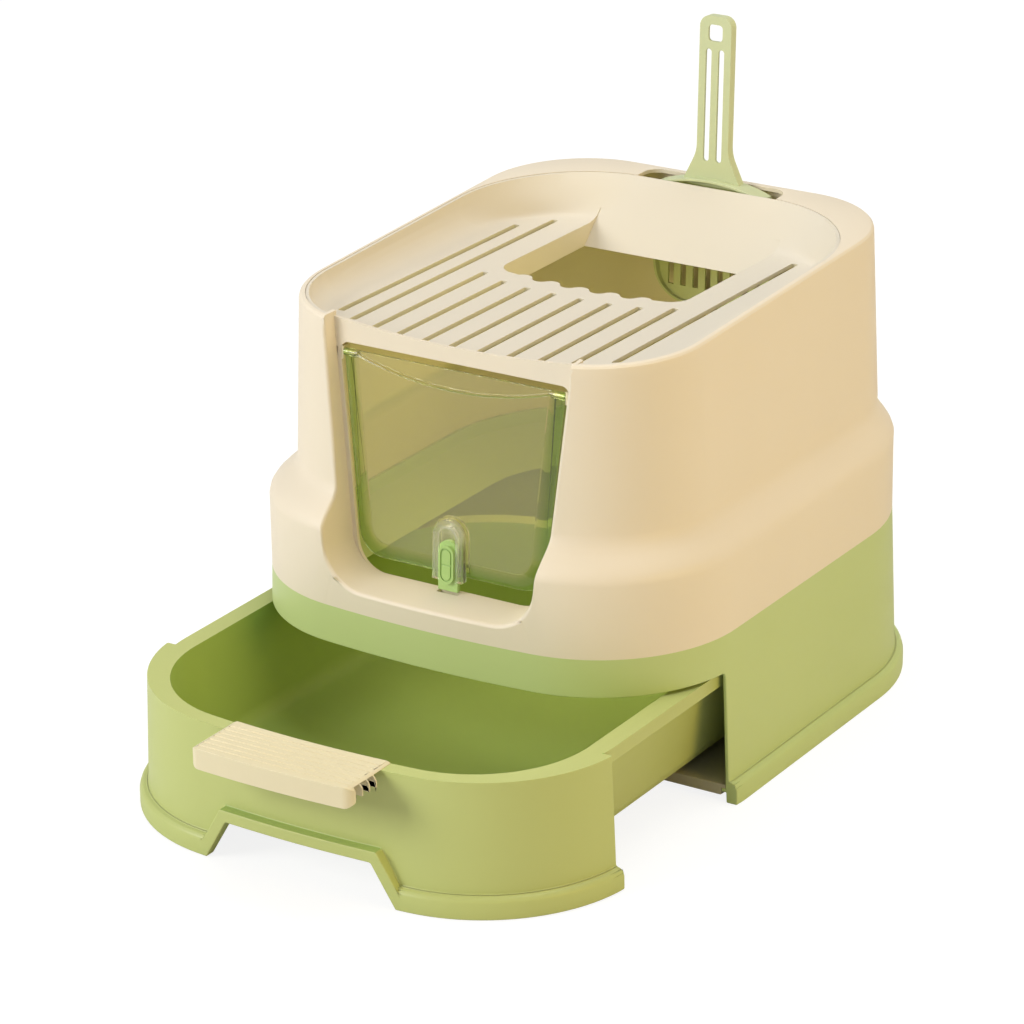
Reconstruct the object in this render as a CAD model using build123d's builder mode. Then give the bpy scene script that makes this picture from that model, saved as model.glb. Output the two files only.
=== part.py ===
from build123d import *
import os
from math import asin, atan2, cos, degrees, pi, radians, sin, sqrt, tan

os.makedirs("parts", exist_ok=True)

# Millimetres. +Z is up, the door faces -Y and +X is to the right of someone facing the door.
# The origin is on the floor below the middle of the whole object with its drawer pulled out.

# Plan of the box, shared by the base, the cover and the drawer front
BOX_WIDTH = 400.0
BOX_DEPTH = 480.0
FRONT_BOW = 22.0  # how far the middle of the front stands out past its corners
FRONT_CORNER = 118.0
REAR_CORNER = 142.0
WALL = 3.0
FIT_GAP = 0.4  # between walls that slip inside one another
SEAM_GAP = 0.3  # between pieces that meet at a visible seam
SLIDE_GAP = 0.3  # under the drawer, on its rails
BASE_FLARE = 4.5  # how far the base and the drawer front lean out at the floor

# Heights of the housings
DRAWER_OPENING_TOP = 108.0
JOINT_Z = 138.5  # the cover stands on the base here
SKIRT_TOP = 196.5
SHOULDER_TOP = 228.5
RIM_FRONT_Z = 358.5
RIM_BACK_Z = 372.5

# Foot bead round the base and the drawer front
BEAD_REACH = 11.0
BEAD_HEIGHT = 18.0
BEAD_ROUND = 6.5
ROUND_STEPS = 3  # bands that make up a rounded edge

# Drawer
DRAWER_PULL = 163.0  # how far out it stands
FASCIA_REACH = 108.0  # the base's side walls start this far behind the box's front
DRAWER_END_GAP = 0.8
DRAWER_TOP = 105.5
DRAWER_FOOT_GAP = 0.6
HANDLE_REACH = 42.0  # the handle stands this far out from the middle of the drawer front

BOX_Y = (DRAWER_PULL + HANDLE_REACH - BEAD_REACH) / 2
DRAWER_Y = BOX_Y - DRAWER_PULL
HALF_WIDTH = BOX_WIDTH / 2
HALF_DEPTH = BOX_DEPTH / 2
SIDE_WALL_FRONT = FASCIA_REACH - HALF_DEPTH  # from the middle of the box
FAR = 600.0


def level(height, centre=BOX_Y):
    """Horizontal plane at a height, centred on the box or, with DRAWER_Y, on the drawer."""
    return Plane((0, centre, height))


def tilted_level(height, slope, centre=BOX_Y):
    """Plane through a height at the middle of the box that climbs towards the back."""
    return Plane(origin=(0, centre, height), x_dir=(1, 0, 0), z_dir=(0, -slope, 1))


def box_outline(inset=0.0, front_shift=0.0, back_shift=0.0, rear_corner=REAR_CORNER):
    """Plan of the box moved inwards by an inset: bowed front and four round corners.

    front_shift and back_shift move the front or the back alone towards the middle.
    """
    bow_radius = (HALF_WIDTH**2 + FRONT_BOW**2) / (2 * FRONT_BOW)
    bow_centre = bow_radius - HALF_DEPTH + front_shift
    corner_x = HALF_WIDTH - FRONT_CORNER
    turn = asin(corner_x / (bow_radius - FRONT_CORNER))
    corner_y = bow_centre - (bow_radius - FRONT_CORNER) * cos(turn)
    rear_x = HALF_WIDTH - rear_corner
    rear_y = HALF_DEPTH - rear_corner - back_shift
    rear_radius = rear_corner - inset
    angle = degrees(turn)
    with BuildSketch() as outline:
        with BuildLine():
            CenterArc((0, bow_centre), bow_radius - inset, -90, angle)
            corner = CenterArc((corner_x, corner_y), FRONT_CORNER - inset, angle - 90, 90 - angle)
            Line(corner @ 1, (HALF_WIDTH - inset, rear_y))
            rear = CenterArc((rear_x, rear_y), rear_radius, 0, 90)
            Line(rear @ 1, (0, rear_y + rear_radius))
            mirror(about=Plane.YZ)
        make_face()
    return outline.sketch


def flare(height):
    """How far the base's walls lean out at a height."""
    return BASE_FLARE * (1 - height / JOINT_Z)


def flared_body(inset, low, high, centre=BOX_Y):
    """Solid inside the base's outer surface moved inwards by an inset, between two heights."""
    with BuildPart() as body:
        for height in (low, high):
            with BuildSketch(level(height, centre)):
                add(box_outline(inset - flare(height)))
        loft(ruled=True)
    return body.part


def flared_ring(outer, inner, low, high, centre=BOX_Y):
    """Wall between two insets from the base's outer surface."""
    with BuildPart() as wall:
        add(flared_body(outer, low, high, centre))
        add(flared_body(inner, low, high, centre), mode=Mode.SUBTRACT)
    return wall.part


def bead_body(foot, centre=BOX_Y):
    """Solid inside the foot bead: an upright side under a rounded top."""
    with BuildPart() as body:
        with BuildSketch(level(foot, centre)):
            add(box_outline(-BEAD_REACH))
        for step in range(ROUND_STEPS + 1):
            turn = pi / 2 * step / ROUND_STEPS
            with BuildSketch(level(BEAD_HEIGHT - BEAD_ROUND * (1 - sin(turn)), centre)):
                add(box_outline(BEAD_ROUND * (1 - cos(turn)) - BEAD_REACH))
        loft(ruled=True)
    return body.part


# ---------------------------------------------------------------- base housing
LEDGE_REACH = 4.0  # inner ledges that carry the floor and the litter guide
LEDGE_THICKNESS = 3.0
FLOOR_Z = 11.5  # underside of the floor plate
GUIDE_LEDGE_Z = 120.5
BAY_CORNER = 4.0  # of the side walls' cut-out over the drawer front

with BuildPart() as base_housing:
    add(bead_body(0))
    add(flared_body(0, 0, JOINT_Z))
    add(flared_body(WALL, 0, JOINT_Z), mode=Mode.SUBTRACT)
    for ledge_top in (FLOOR_Z, GUIDE_LEDGE_Z):
        add(flared_ring(WALL / 2, WALL + LEDGE_REACH, ledge_top - LEDGE_THICKNESS, ledge_top))
    with BuildSketch(Plane.YZ.offset(-FAR)) as drawer_bay:
        with Locations((BOX_Y + SIDE_WALL_FRONT, DRAWER_OPENING_TOP)):
            Rectangle(FAR, FAR, align=(Align.MAX, Align.MAX))
        fillet(drawer_bay.vertices().group_by(Axis.Y)[-1].group_by(Axis.Z)[-1], BAY_CORNER)
    extrude(amount=2 * FAR, mode=Mode.SUBTRACT)
base_housing.part.label = "base_housing"
export_step(base_housing.part, "parts/base_housing.step")

# ---------------------------------------------------------------- base floor
FLOOR_THICKNESS = 3.0
FLOOR_BAR = 8.0  # front bar below the plate
FLOOR_BAR_DEPTH = 6.0
RAIL_X = 120.0
RAIL_WIDTH = 8.0
RAIL_HEIGHT = 3.2
RAIL_BACK = 30.0  # the rails stop this far from the back wall
RAIL_TOP = FLOOR_Z + FLOOR_THICKNESS + RAIL_HEIGHT

with BuildPart() as base_floor:
    with BuildSketch(level(FLOOR_Z)):
        add(box_outline(WALL + FIT_GAP - flare(FLOOR_Z + FLOOR_THICKNESS)))
        with Locations((0, SIDE_WALL_FRONT)):
            Rectangle(FAR, FAR, align=(Align.CENTER, Align.MAX), mode=Mode.SUBTRACT)
    extrude(amount=FLOOR_THICKNESS)
    with BuildSketch(level(FLOOR_Z)):
        add(box_outline(WALL + LEDGE_REACH + FIT_GAP - flare(FLOOR_Z)))
        with Locations((0, SIDE_WALL_FRONT)):
            Rectangle(FAR, FLOOR_BAR, align=(Align.CENTER, Align.MIN), mode=Mode.INTERSECT)
    extrude(amount=-FLOOR_BAR_DEPTH)
    with BuildSketch(level(FLOOR_Z + FLOOR_THICKNESS)):
        for rail_x in (-RAIL_X, RAIL_X):
            with Locations((rail_x, SIDE_WALL_FRONT)):
                Rectangle(
                    RAIL_WIDTH,
                    HALF_DEPTH - SIDE_WALL_FRONT - RAIL_BACK,
                    align=(Align.CENTER, Align.MIN),
                )
    extrude(amount=RAIL_HEIGHT)
base_floor.part.label = "base_floor"
export_step(base_floor.part, "parts/base_floor.step")

# ---------------------------------------------------------------- litter guide
GUIDE_WALL = 2.5
SPIGOT_TOP = 148.5
GUIDE_TOP = 136.5  # the slope leaves the spigot here
GUIDE_BOTTOM = 110.0
GUIDE_END = 40.0  # inset of the slope's lower edge

with BuildPart() as litter_guide:
    with BuildSketch(level(GUIDE_TOP)):
        add(box_outline(WALL + FIT_GAP))
    with BuildSketch(level(GUIDE_BOTTOM)):
        add(box_outline(GUIDE_END))
    loft(ruled=True)
    with BuildSketch(level(GUIDE_TOP)):
        add(box_outline(WALL + FIT_GAP + GUIDE_WALL))
    with BuildSketch(level(GUIDE_BOTTOM)):
        add(box_outline(GUIDE_END + GUIDE_WALL))
    loft(ruled=True, mode=Mode.SUBTRACT)
    with BuildSketch(level(GUIDE_LEDGE_Z)):
        add(box_outline(WALL + FIT_GAP))
        add(box_outline(WALL + FIT_GAP + GUIDE_WALL), mode=Mode.SUBTRACT)
    extrude(amount=SPIGOT_TOP - GUIDE_LEDGE_Z)
litter_guide.part.label = "litter_guide"
export_step(litter_guide.part, "parts/litter_guide.step")

# ---------------------------------------------------------------- drawer tray
FASCIA_END = SIDE_WALL_FRONT - DRAWER_END_GAP
FLANGE_INSET = 6.5  # side flanges run inside the base's walls
FLANGE_DROP = 12.0
DRAWER_RIM = 3.0
TRAY_WALL = 2.5
TRAY_UNDERSIDE = RAIL_TOP + SLIDE_GAP
TRAY_TOP_INSET = 22.5
TRAY_FOOT_INSET = 34.0
TRAY_FRONT_SHIFT = -10.5  # the tray comes this much closer to the front than to the sides
TRAY_ROUND = 16.0
NOTCH_TOP = 34.3
NOTCH_HALF_TOP = 64.5
NOTCH_HALF_FOOT = 85.0
NOTCH_BEAD = 9.5  # bead over and beside the notch
NOTCH_DEPTH = 16.0
FASCIA_PLANE = Plane.XZ.offset(-DRAWER_Y - FASCIA_END)


def tray_body(foot, foot_inset, top_inset, rounding):
    """Solid inside the tray's wall: round lower edge, sides that spread towards the rim."""
    lean = atan2(foot_inset - top_inset, DRAWER_TOP - foot)
    turn = pi / 2 - lean
    wall_foot = rounding * (1 - cos(turn))
    wall_inset = foot_inset - wall_foot * tan(lean)
    with BuildPart() as body:
        for step in range(ROUND_STEPS + 1):
            angle = turn * step / ROUND_STEPS
            with BuildSketch(level(foot + rounding * (1 - cos(angle)), DRAWER_Y)):
                add(box_outline(wall_inset + rounding * (sin(turn) - sin(angle)), TRAY_FRONT_SHIFT))
        with BuildSketch(level(DRAWER_TOP, DRAWER_Y)):
            add(box_outline(top_inset, TRAY_FRONT_SHIFT))
        loft(ruled=True)
    return body.part


def rim_ring(outer, inner, front=True):
    """Plan of the rim between two insets, in front of the ends of the drawer's front or behind."""
    keep = Align.MAX if front else Align.MIN
    with BuildSketch() as band:
        add(box_outline(outer))
        add(box_outline(inner), mode=Mode.SUBTRACT)
        with Locations((0, FASCIA_END)):
            Rectangle(FAR, FAR, align=(Align.CENTER, keep), mode=Mode.INTERSECT)
    return band.sketch


def notch_outline(border=0.0):
    """Trapezoid of the notch in the drawer front, seen from the front."""
    lean = (NOTCH_HALF_FOOT - NOTCH_HALF_TOP) / NOTCH_TOP
    side = border * sqrt(1 + lean**2)
    top_half = NOTCH_HALF_TOP - lean * border + side
    foot_half = NOTCH_HALF_FOOT + side
    top = NOTCH_TOP + border
    with BuildSketch() as outline:
        with BuildLine():
            Polyline((-foot_half, 0), (-top_half, top), (top_half, top), (foot_half, 0), close=True)
        make_face()
    return outline.sketch


with BuildPart() as notch_frame:
    with BuildSketch(level(DRAWER_FOOT_GAP, DRAWER_Y)):
        add(box_outline(-BEAD_REACH))
        add(box_outline(0), mode=Mode.SUBTRACT)
    extrude(amount=NOTCH_TOP + NOTCH_BEAD)
    with BuildSketch(Plane.XZ):
        add(notch_outline(NOTCH_BEAD))
    extrude(amount=FAR, mode=Mode.INTERSECT)

# The front: wall, foot bead and the bead that frames the notch
with BuildPart() as fascia:
    add(bead_body(DRAWER_FOOT_GAP, DRAWER_Y))
    add(flared_body(0, DRAWER_FOOT_GAP, DRAWER_TOP, DRAWER_Y))
    add(notch_frame.part)
    add(flared_body(WALL, DRAWER_FOOT_GAP, DRAWER_TOP, DRAWER_Y), mode=Mode.SUBTRACT)
    split(bisect_by=FASCIA_PLANE, keep=Keep.TOP)

# Webs that close the ends of the front behind its wall
with BuildPart() as fascia_ends:
    add(flared_ring(WALL / 2, TRAY_FOOT_INSET + BASE_FLARE, TRAY_UNDERSIDE, DRAWER_TOP, DRAWER_Y))
    split(bisect_by=FASCIA_PLANE, keep=Keep.TOP)
    split(bisect_by=FASCIA_PLANE.offset(WALL), keep=Keep.BOTTOM)

with BuildPart() as drawer_tray:
    add(
        tray_body(
            TRAY_UNDERSIDE,
            TRAY_FOOT_INSET - TRAY_WALL,
            TRAY_TOP_INSET - TRAY_WALL,
            TRAY_ROUND + TRAY_WALL,
        )
    )
    add(fascia.part)
    add(fascia_ends.part)
    with BuildSketch(level(DRAWER_TOP, DRAWER_Y)):
        add(rim_ring(-flare(DRAWER_TOP), TRAY_FOOT_INSET))
        add(rim_ring(FLANGE_INSET, TRAY_FOOT_INSET, front=False))
    extrude(amount=-DRAWER_RIM)
    with BuildSketch(level(DRAWER_TOP, DRAWER_Y)):
        add(rim_ring(FLANGE_INSET, FLANGE_INSET + TRAY_WALL, front=False))
    extrude(amount=-FLANGE_DROP)
    add(
        tray_body(TRAY_UNDERSIDE + TRAY_WALL, TRAY_FOOT_INSET, TRAY_TOP_INSET, TRAY_ROUND),
        mode=Mode.SUBTRACT,
    )
    with BuildSketch(Plane.XZ.offset(HALF_DEPTH - DRAWER_Y - NOTCH_DEPTH)):
        add(notch_outline())
    extrude(amount=FAR, mode=Mode.SUBTRACT)
drawer_tray.part.label = "drawer_tray"
export_step(drawer_tray.part, "parts/drawer_tray.step")

# ---------------------------------------------------------------- drawer handle
HANDLE_REAR_HALF = 74.0
HANDLE_FRONT_HALF = 71.5
HANDLE_PLATE = 1.8
HANDLE_DROP = 15.0  # front wall below the rim
HANDLE_WALL = 2.6
HANDLE_CORNER = 9.0
HANDLE_FOOT_CORNER = 8.0
HANDLE_RIBS = 4
HANDLE_RIB = 1.6
HANDLE_RIB_DROP = 9.0
GROOVES = 7
GROOVE_WIDTH = 1.8
GROOVE_DEPTH = 0.7
GROOVE_PITCH = 6.4
GROOVE_FIRST = 8.0  # behind the front edge
GROOVE_MARGIN = 5.0  # from a groove's end to the plate's side
HANDLE_FRONT = -HALF_DEPTH - HANDLE_REACH


def handle_outline(inset=0.0):
    """Plan of the handle: bowed front, round front corners, rear edge along the tray's inner edge."""
    with BuildSketch() as outline:
        with BuildLine():
            Polyline(
                (inset - HANDLE_FRONT_HALF, HANDLE_FRONT),
                (inset - HANDLE_REAR_HALF, TRAY_TOP_INSET - HALF_DEPTH),
                (HANDLE_REAR_HALF - inset, TRAY_TOP_INSET - HALF_DEPTH),
                (HANDLE_FRONT_HALF - inset, HANDLE_FRONT),
                close=True,
            )
        make_face()
        add(box_outline(inset - HANDLE_REACH), mode=Mode.INTERSECT)
        corners = outline.vertices().filter_by(
            lambda corner: corner.Y < -HALF_DEPTH and abs(corner.X) > HALF_WIDTH / 4
        )
        fillet(corners, HANDLE_CORNER - inset)
        add(box_outline(TRAY_TOP_INSET, TRAY_FRONT_SHIFT), mode=Mode.SUBTRACT)
    return outline.sketch


with BuildPart() as handle_space:
    with BuildSketch(level(DRAWER_TOP - HANDLE_DROP, DRAWER_Y)):
        add(handle_outline(HANDLE_WALL))
        with Locations((0, HANDLE_FRONT + HANDLE_CORNER)):
            Rectangle(FAR, FAR, align=(Align.CENTER, Align.MIN))
    extrude(amount=HANDLE_DROP)

with BuildPart() as drawer_handle:
    with BuildSketch(level(DRAWER_TOP - HANDLE_DROP, DRAWER_Y)):
        add(handle_outline())
    extrude(amount=HANDLE_DROP + HANDLE_PLATE)
    add(handle_space.part, mode=Mode.SUBTRACT)
    with BuildSketch(level(DRAWER_TOP - HANDLE_RIB_DROP, DRAWER_Y)):
        for rib in range(HANDLE_RIBS):
            rib_y = HANDLE_FRONT + (rib + 1) * HANDLE_REACH / (HANDLE_RIBS + 1)
            with Locations((0, rib_y)):
                Rectangle(FAR, HANDLE_RIB)
        add(handle_outline(), mode=Mode.INTERSECT)
    extrude(amount=HANDLE_RIB_DROP)
    with BuildSketch(level(0, DRAWER_Y)):
        add(box_outline(-SEAM_GAP - flare(DRAWER_TOP - HANDLE_DROP)))
    extrude(amount=DRAWER_TOP, mode=Mode.SUBTRACT)
    with BuildSketch(Plane.XZ) as front_view:
        with BuildLine():
            Polyline(
                (-HANDLE_REAR_HALF, DRAWER_TOP + HANDLE_PLATE),
                (-HANDLE_FRONT_HALF, DRAWER_TOP - HANDLE_DROP),
                (HANDLE_FRONT_HALF, DRAWER_TOP - HANDLE_DROP),
                (HANDLE_REAR_HALF, DRAWER_TOP + HANDLE_PLATE),
                close=True,
            )
        make_face()
        fillet(front_view.vertices().group_by(Axis.Z)[0], HANDLE_FOOT_CORNER)
    extrude(amount=FAR, mode=Mode.INTERSECT)
    with BuildSketch(level(DRAWER_TOP + HANDLE_PLATE, DRAWER_Y)):
        for groove in range(GROOVES):
            with Locations((0, HANDLE_FRONT + GROOVE_FIRST + groove * GROOVE_PITCH)):
                Rectangle(2 * (HANDLE_FRONT_HALF - GROOVE_MARGIN), GROOVE_WIDTH)
    extrude(amount=-GROOVE_DEPTH, mode=Mode.SUBTRACT)
drawer_handle.part.label = "drawer_handle"
export_step(drawer_handle.part, "parts/drawer_handle.step")

# ---------------------------------------------------------------- cover shell
SHOULDER_INSET = 23.0
RIM_INSET = 28.0
RIM_LIP = 2.0  # the cover's own part of the rim reaches this far inside its wall
RIM_BAND = WALL + RIM_LIP
RIM_THICKNESS = 3.0
RIM_ROUND = 4.0
RIM_CORNER = 114.0  # rear corners of the walls above the shoulder, before their inset
BACK_BAND = 24.5  # the rim is this much wider along the back
SHOULDER_STEPS = 7
CUT_MARGIN = 14.0
SLOT_HALF = 64.5
SLOT_BACK = 36.5  # the scoop slot's back edge, in from the box's back
SLOT_ROUND = 13.0
SLOT_LENGTH = 40.0
RIM_Z = (RIM_FRONT_Z + RIM_BACK_Z) / 2
RIM_SLOPE = (RIM_BACK_Z - RIM_FRONT_Z) / (BOX_DEPTH - 2 * RIM_INSET)
RIM_PLANE = tilted_level(RIM_Z, RIM_SLOPE)
BAND_INSET = RIM_INSET + RIM_BAND

# Door bay, on a plane through its sill that leans back towards its top
SILL_Z = 157.5
SILL_SETBACK = 38.7  # from the box's front to the door plane, at the sill
DOOR_LEAN = 3.0
DOOR_UP = (0, sin(radians(DOOR_LEAN)), cos(radians(DOOR_LEAN)))
DOOR_PLANE = Plane(
    origin=(0, BOX_Y - HALF_DEPTH + SILL_SETBACK, SILL_Z),
    x_dir=(1, 0, 0),
    z_dir=(0, -DOOR_UP[2], DOOR_UP[1]),
)
BAY_FLARE = 0.104
BAY_ROUND = 32.0
BAY_TOP = 250.0
BAY_REACH = 75.0
BAY_DRAFT = 6.0
STRIP_TOP = 198.5  # the strip over the door ends here at its sides, above the sill
STRIP_SAG = 6.3  # its top is this much lower in the middle
OPENING_SILL_HALF = 83.6
BAY_BORDER = 3.8  # wall between the opening and the bay's side, at the sill
BAY_SILL_HALF = OPENING_SILL_HALF + BAY_BORDER
OPENING_FLARE = 0.105
OPENING_TOP = 180.0
OPENING_FOOT_ROUND = 26.0
OPENING_TOP_ROUND = 7.0

# Hinge of the flap
HINGE_UP = 171.8
HINGE_BACK = 1.5  # the hinge axis lies this far behind the door plane
BOSS_WIDTH = 8.0
BOSS_BACK = 10.0
BOSS_LOW = 164.0
BOSS_HIGH = 178.5
PEG_LOW = 168.0
PEG_HIGH = 175.6
PEG_FRONT = 4.5
PEG_THICKNESS = 4.0
PEG_LENGTH = 5.0
RELEASE_SLOT = (2.0, 7.0)

# Latch
LATCH_HALF = 8.7
LATCH_SLOT_GAP = 0.8
LATCH_BACK = 1.2  # its rear face, in front of the door plane
LATCH_THICKNESS = 4.0
LATCH_SLOT_DEPTH = 8.0

# Ledge that holds the hanging scoop
SCOOP_FOOT_Z = 264.0
SCOOP_LEDGE_HALF = 24.0
SCOOP_LEDGE_REACH = 30.0
SCOOP_LEDGE = 3.0
SCOOP_LEDGE_BACK = HALF_DEPTH - RIM_INSET + WALL / 2
GUSSET_DROP = 22.0


def slot_outline():
    """Scoop slot: opens out of the rim's inner edge, round corners at the back."""
    with BuildSketch() as outline:
        with Locations((0, HALF_DEPTH - SLOT_BACK)):
            Rectangle(2 * SLOT_HALF, SLOT_LENGTH, align=(Align.CENTER, Align.MAX))
        fillet(outline.vertices().group_by(Axis.Y)[-1], SLOT_ROUND)
    return outline.sketch


def door_outline(half_foot, flare, foot, top, foot_round, top_round=0.0):
    """Upright trapezoid on the door plane: sides that spread towards its top, round corners."""
    foot_half = half_foot + flare * foot
    top_half = half_foot + flare * top
    with BuildSketch() as outline:
        with BuildLine():
            Polyline((-foot_half, foot), (-top_half, top), (top_half, top), (foot_half, foot), close=True)
        make_face()
        fillet(outline.vertices().group_by(Axis.Y)[0], foot_round)
        if top_round:
            fillet(outline.vertices().group_by(Axis.Y)[-1], top_round)
    return outline.sketch


def bay_outline(grow=0.0):
    """Door bay on the door plane, open at its top, grown on every side."""
    return door_outline(BAY_SILL_HALF + grow, BAY_FLARE, -grow, BAY_TOP, BAY_ROUND + grow)


def opening_outline():
    """Door opening on the door plane."""
    return door_outline(
        OPENING_SILL_HALF, OPENING_FLARE, 0, OPENING_TOP, OPENING_FOOT_ROUND, OPENING_TOP_ROUND
    )


def bay_space(grow=0.0):
    """Everything in front of the door plane and inside the bay, which widens outwards."""
    with BuildPart() as space:
        with BuildSketch(DOOR_PLANE.offset(-grow)):
            add(bay_outline(grow))
        extrude(amount=BAY_REACH + grow, taper=-BAY_DRAFT)
    return space.part


def cover_body(inward, rim_drop):
    """Solid inside the cover's outer surface moved inwards: skirt, curved shoulder, drawn-in walls."""
    with BuildPart() as body:
        with BuildSketch(level(JOINT_Z)):
            add(box_outline(inward))
        for step in range(SHOULDER_STEPS + 1):
            share = step / SHOULDER_STEPS
            inset = inward + SHOULDER_INSET * (1 - cos(pi * share)) / 2
            corner = REAR_CORNER + share * (RIM_CORNER - REAR_CORNER)
            with BuildSketch(level(SKIRT_TOP + share * (SHOULDER_TOP - SKIRT_TOP))):
                add(box_outline(inset, rear_corner=corner))
        with BuildSketch(RIM_PLANE.offset(-rim_drop)):
            add(box_outline(inward + RIM_INSET, rear_corner=RIM_CORNER))
        loft(ruled=True)
    return body.part


with BuildPart() as cover_outside:
    add(cover_body(0, RIM_ROUND))
    for step in range(ROUND_STEPS + 1):
        turn = pi / 2 * step / ROUND_STEPS
        with BuildSketch(RIM_PLANE.offset(-RIM_ROUND * (1 - sin(turn)))):
            add(box_outline(RIM_INSET + RIM_ROUND * (1 - cos(turn)), rear_corner=RIM_CORNER))
    loft(ruled=True)

with BuildPart() as cover_inside:
    add(cover_body(WALL, RIM_THICKNESS))

with BuildPart() as bay_liner:
    add(bay_space(WALL))
    add(cover_outside.part, mode=Mode.INTERSECT)

with BuildPart() as cover_shell:
    add(cover_outside.part)
    add(cover_inside.part, mode=Mode.SUBTRACT)
    with BuildSketch(level(RIM_FRONT_Z - CUT_MARGIN)):
        add(box_outline(BAND_INSET, back_shift=BACK_BAND))
        add(slot_outline())
    extrude(amount=FAR, mode=Mode.SUBTRACT)
    add(bay_liner.part)
    add(bay_space(), mode=Mode.SUBTRACT)
    with BuildSketch(DOOR_PLANE.offset(BAY_REACH)):
        strip_half = BAY_SILL_HALF + BAY_FLARE * STRIP_TOP
        with BuildLine():
            ThreePointArc((-strip_half, STRIP_TOP), (0, STRIP_TOP - STRIP_SAG), (strip_half, STRIP_TOP))
            Polyline(
                (strip_half, STRIP_TOP), (strip_half, FAR), (-strip_half, FAR), (-strip_half, STRIP_TOP)
            )
        make_face()
    extrude(amount=-BAY_REACH - 2 * WALL, mode=Mode.SUBTRACT)
    for side in (-1, 1):
        opening_half = OPENING_SILL_HALF + OPENING_FLARE * (BOSS_LOW + BOSS_HIGH) / 2
        peg_up = (PEG_LOW + PEG_HIGH) / 2
        with BuildSketch(DOOR_PLANE.offset(-WALL / 2)):
            with Locations((side * (opening_half + BOSS_WIDTH / 2), (BOSS_LOW + BOSS_HIGH) / 2)):
                Rectangle(BOSS_WIDTH, BOSS_HIGH - BOSS_LOW)
        extrude(amount=WALL / 2 - BOSS_BACK)
        with BuildSketch(DOOR_PLANE.offset(-PEG_FRONT)):
            with Locations((side * opening_half, peg_up)):
                Rectangle(2 * (PEG_LENGTH + FIT_GAP), PEG_HIGH - PEG_LOW)
        extrude(amount=-PEG_THICKNESS, mode=Mode.SUBTRACT)
        with BuildSketch(DOOR_PLANE):
            with Locations((side * (opening_half + PEG_LENGTH - RELEASE_SLOT[0] / 2), peg_up)):
                Rectangle(*RELEASE_SLOT)
        extrude(amount=-PEG_FRONT - PEG_THICKNESS / 2, mode=Mode.SUBTRACT)
    with BuildSketch(DOOR_PLANE):
        add(opening_outline())
    extrude(amount=2 * WALL, both=True, mode=Mode.SUBTRACT)
    with BuildSketch(DOOR_PLANE.offset(LATCH_BACK - LATCH_SLOT_GAP)):
        Rectangle(2 * (LATCH_HALF + LATCH_SLOT_GAP), 2 * LATCH_SLOT_DEPTH)
    extrude(amount=LATCH_THICKNESS + 2 * LATCH_SLOT_GAP, mode=Mode.SUBTRACT)
    with BuildSketch(level(SCOOP_FOOT_Z)):
        with Locations((0, SCOOP_LEDGE_BACK)):
            Rectangle(2 * SCOOP_LEDGE_HALF, SCOOP_LEDGE_REACH, align=(Align.CENTER, Align.MAX))
    extrude(amount=-SCOOP_LEDGE)
    for gusset_x in (-SCOOP_LEDGE_HALF, SCOOP_LEDGE_HALF - SCOOP_LEDGE):
        with BuildSketch(Plane.YZ.offset(gusset_x)):
            with BuildLine():
                wall_y = BOX_Y + SCOOP_LEDGE_BACK
                Polyline(
                    (wall_y, SCOOP_FOOT_Z),
                    (wall_y, SCOOP_FOOT_Z - GUSSET_DROP),
                    (wall_y - SCOOP_LEDGE_REACH, SCOOP_FOOT_Z - SCOOP_LEDGE),
                    (wall_y - SCOOP_LEDGE_REACH, SCOOP_FOOT_Z),
                    close=True,
                )
            make_face()
        extrude(amount=SCOOP_LEDGE)
cover_shell.part.label = "cover_shell"
export_step(cover_shell.part, "parts/cover_shell.step")

# ---------------------------------------------------------------- top deck
DECK_WALL = 2.5
DECK_THICKNESS = 3.0
DECK_Z = 341.5  # top of the deck at the middle of the box
DECK_SLOPE = -0.012
DECK_SEAM_DROP = 0.4  # its edge lies this far below the rim
BOWL_SIDE_RUN = 20.0  # how far the hollow curve runs in from the rim, at the sides
BOWL_CORNER_DROP = 40.0  # the bowl's rear corners are this much tighter at its foot
BOWL_STEPS = 6
RAMP_ROUND = 25.0  # between the deck and the ramp that climbs to the rim at the back
RAMP_EASE = 0.05  # the opening's own ramp stops this far short of the bowl's
RAMP_SHARE = 0.25  # it reaches up to this share of the bowl's height
FLANGE_WIDTH = 1.5  # under the cover's rim
FLANGE_THICKNESS = 2.5
SLOT_WIDTH = 6.0
OPENING_HALF = 84.0
OPENING_BACK = 130.0
OPENING_FRONT = -10.0
OPENING_BOW = 9.0
OPENING_ROUND = 18.0
WAVE_HEIGHT = 4.0
WAVE_PITCH = 27.0
WAVE_COUNT = 2  # waves each side of the middle one
CHUTE_BOTTOM = 322.5
# Place across the box, front end and back end of each slot
SLOTS = (
    (-131.4, -149.0, 103.0),
    (-111.6, -162.0, 130.0),
    (-86.8, -172.0, -13.0),
    (-62.0, -174.0, -24.0),
    (-37.2, -175.0, -28.5),
    (-12.4, -176.0, -30.0),
    (12.4, -176.0, -30.0),
    (37.2, -175.0, -28.5),
    (62.0, -174.0, -24.0),
    (86.8, -172.0, -13.0),
    (111.6, -145.0, 130.0),
)
DECK_INSET = BAND_INSET + SEAM_GAP + DECK_WALL
DECK_BACK = HALF_DEPTH - DECK_INSET - BACK_BAND
RAMP_RISE = RIM_Z - DECK_SEAM_DROP + RIM_SLOPE * DECK_BACK - CHUTE_BOTTOM
RAMP_ANGLE = atan2(RAMP_RISE, DECK_BACK - OPENING_BACK)
RAMP_PLANE = Plane(
    origin=(0, BOX_Y + OPENING_BACK, CHUTE_BOTTOM),
    x_dir=(1, 0, 0),
    z_dir=(0, -sin(RAMP_ANGLE), cos(RAMP_ANGLE)),
)


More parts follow.
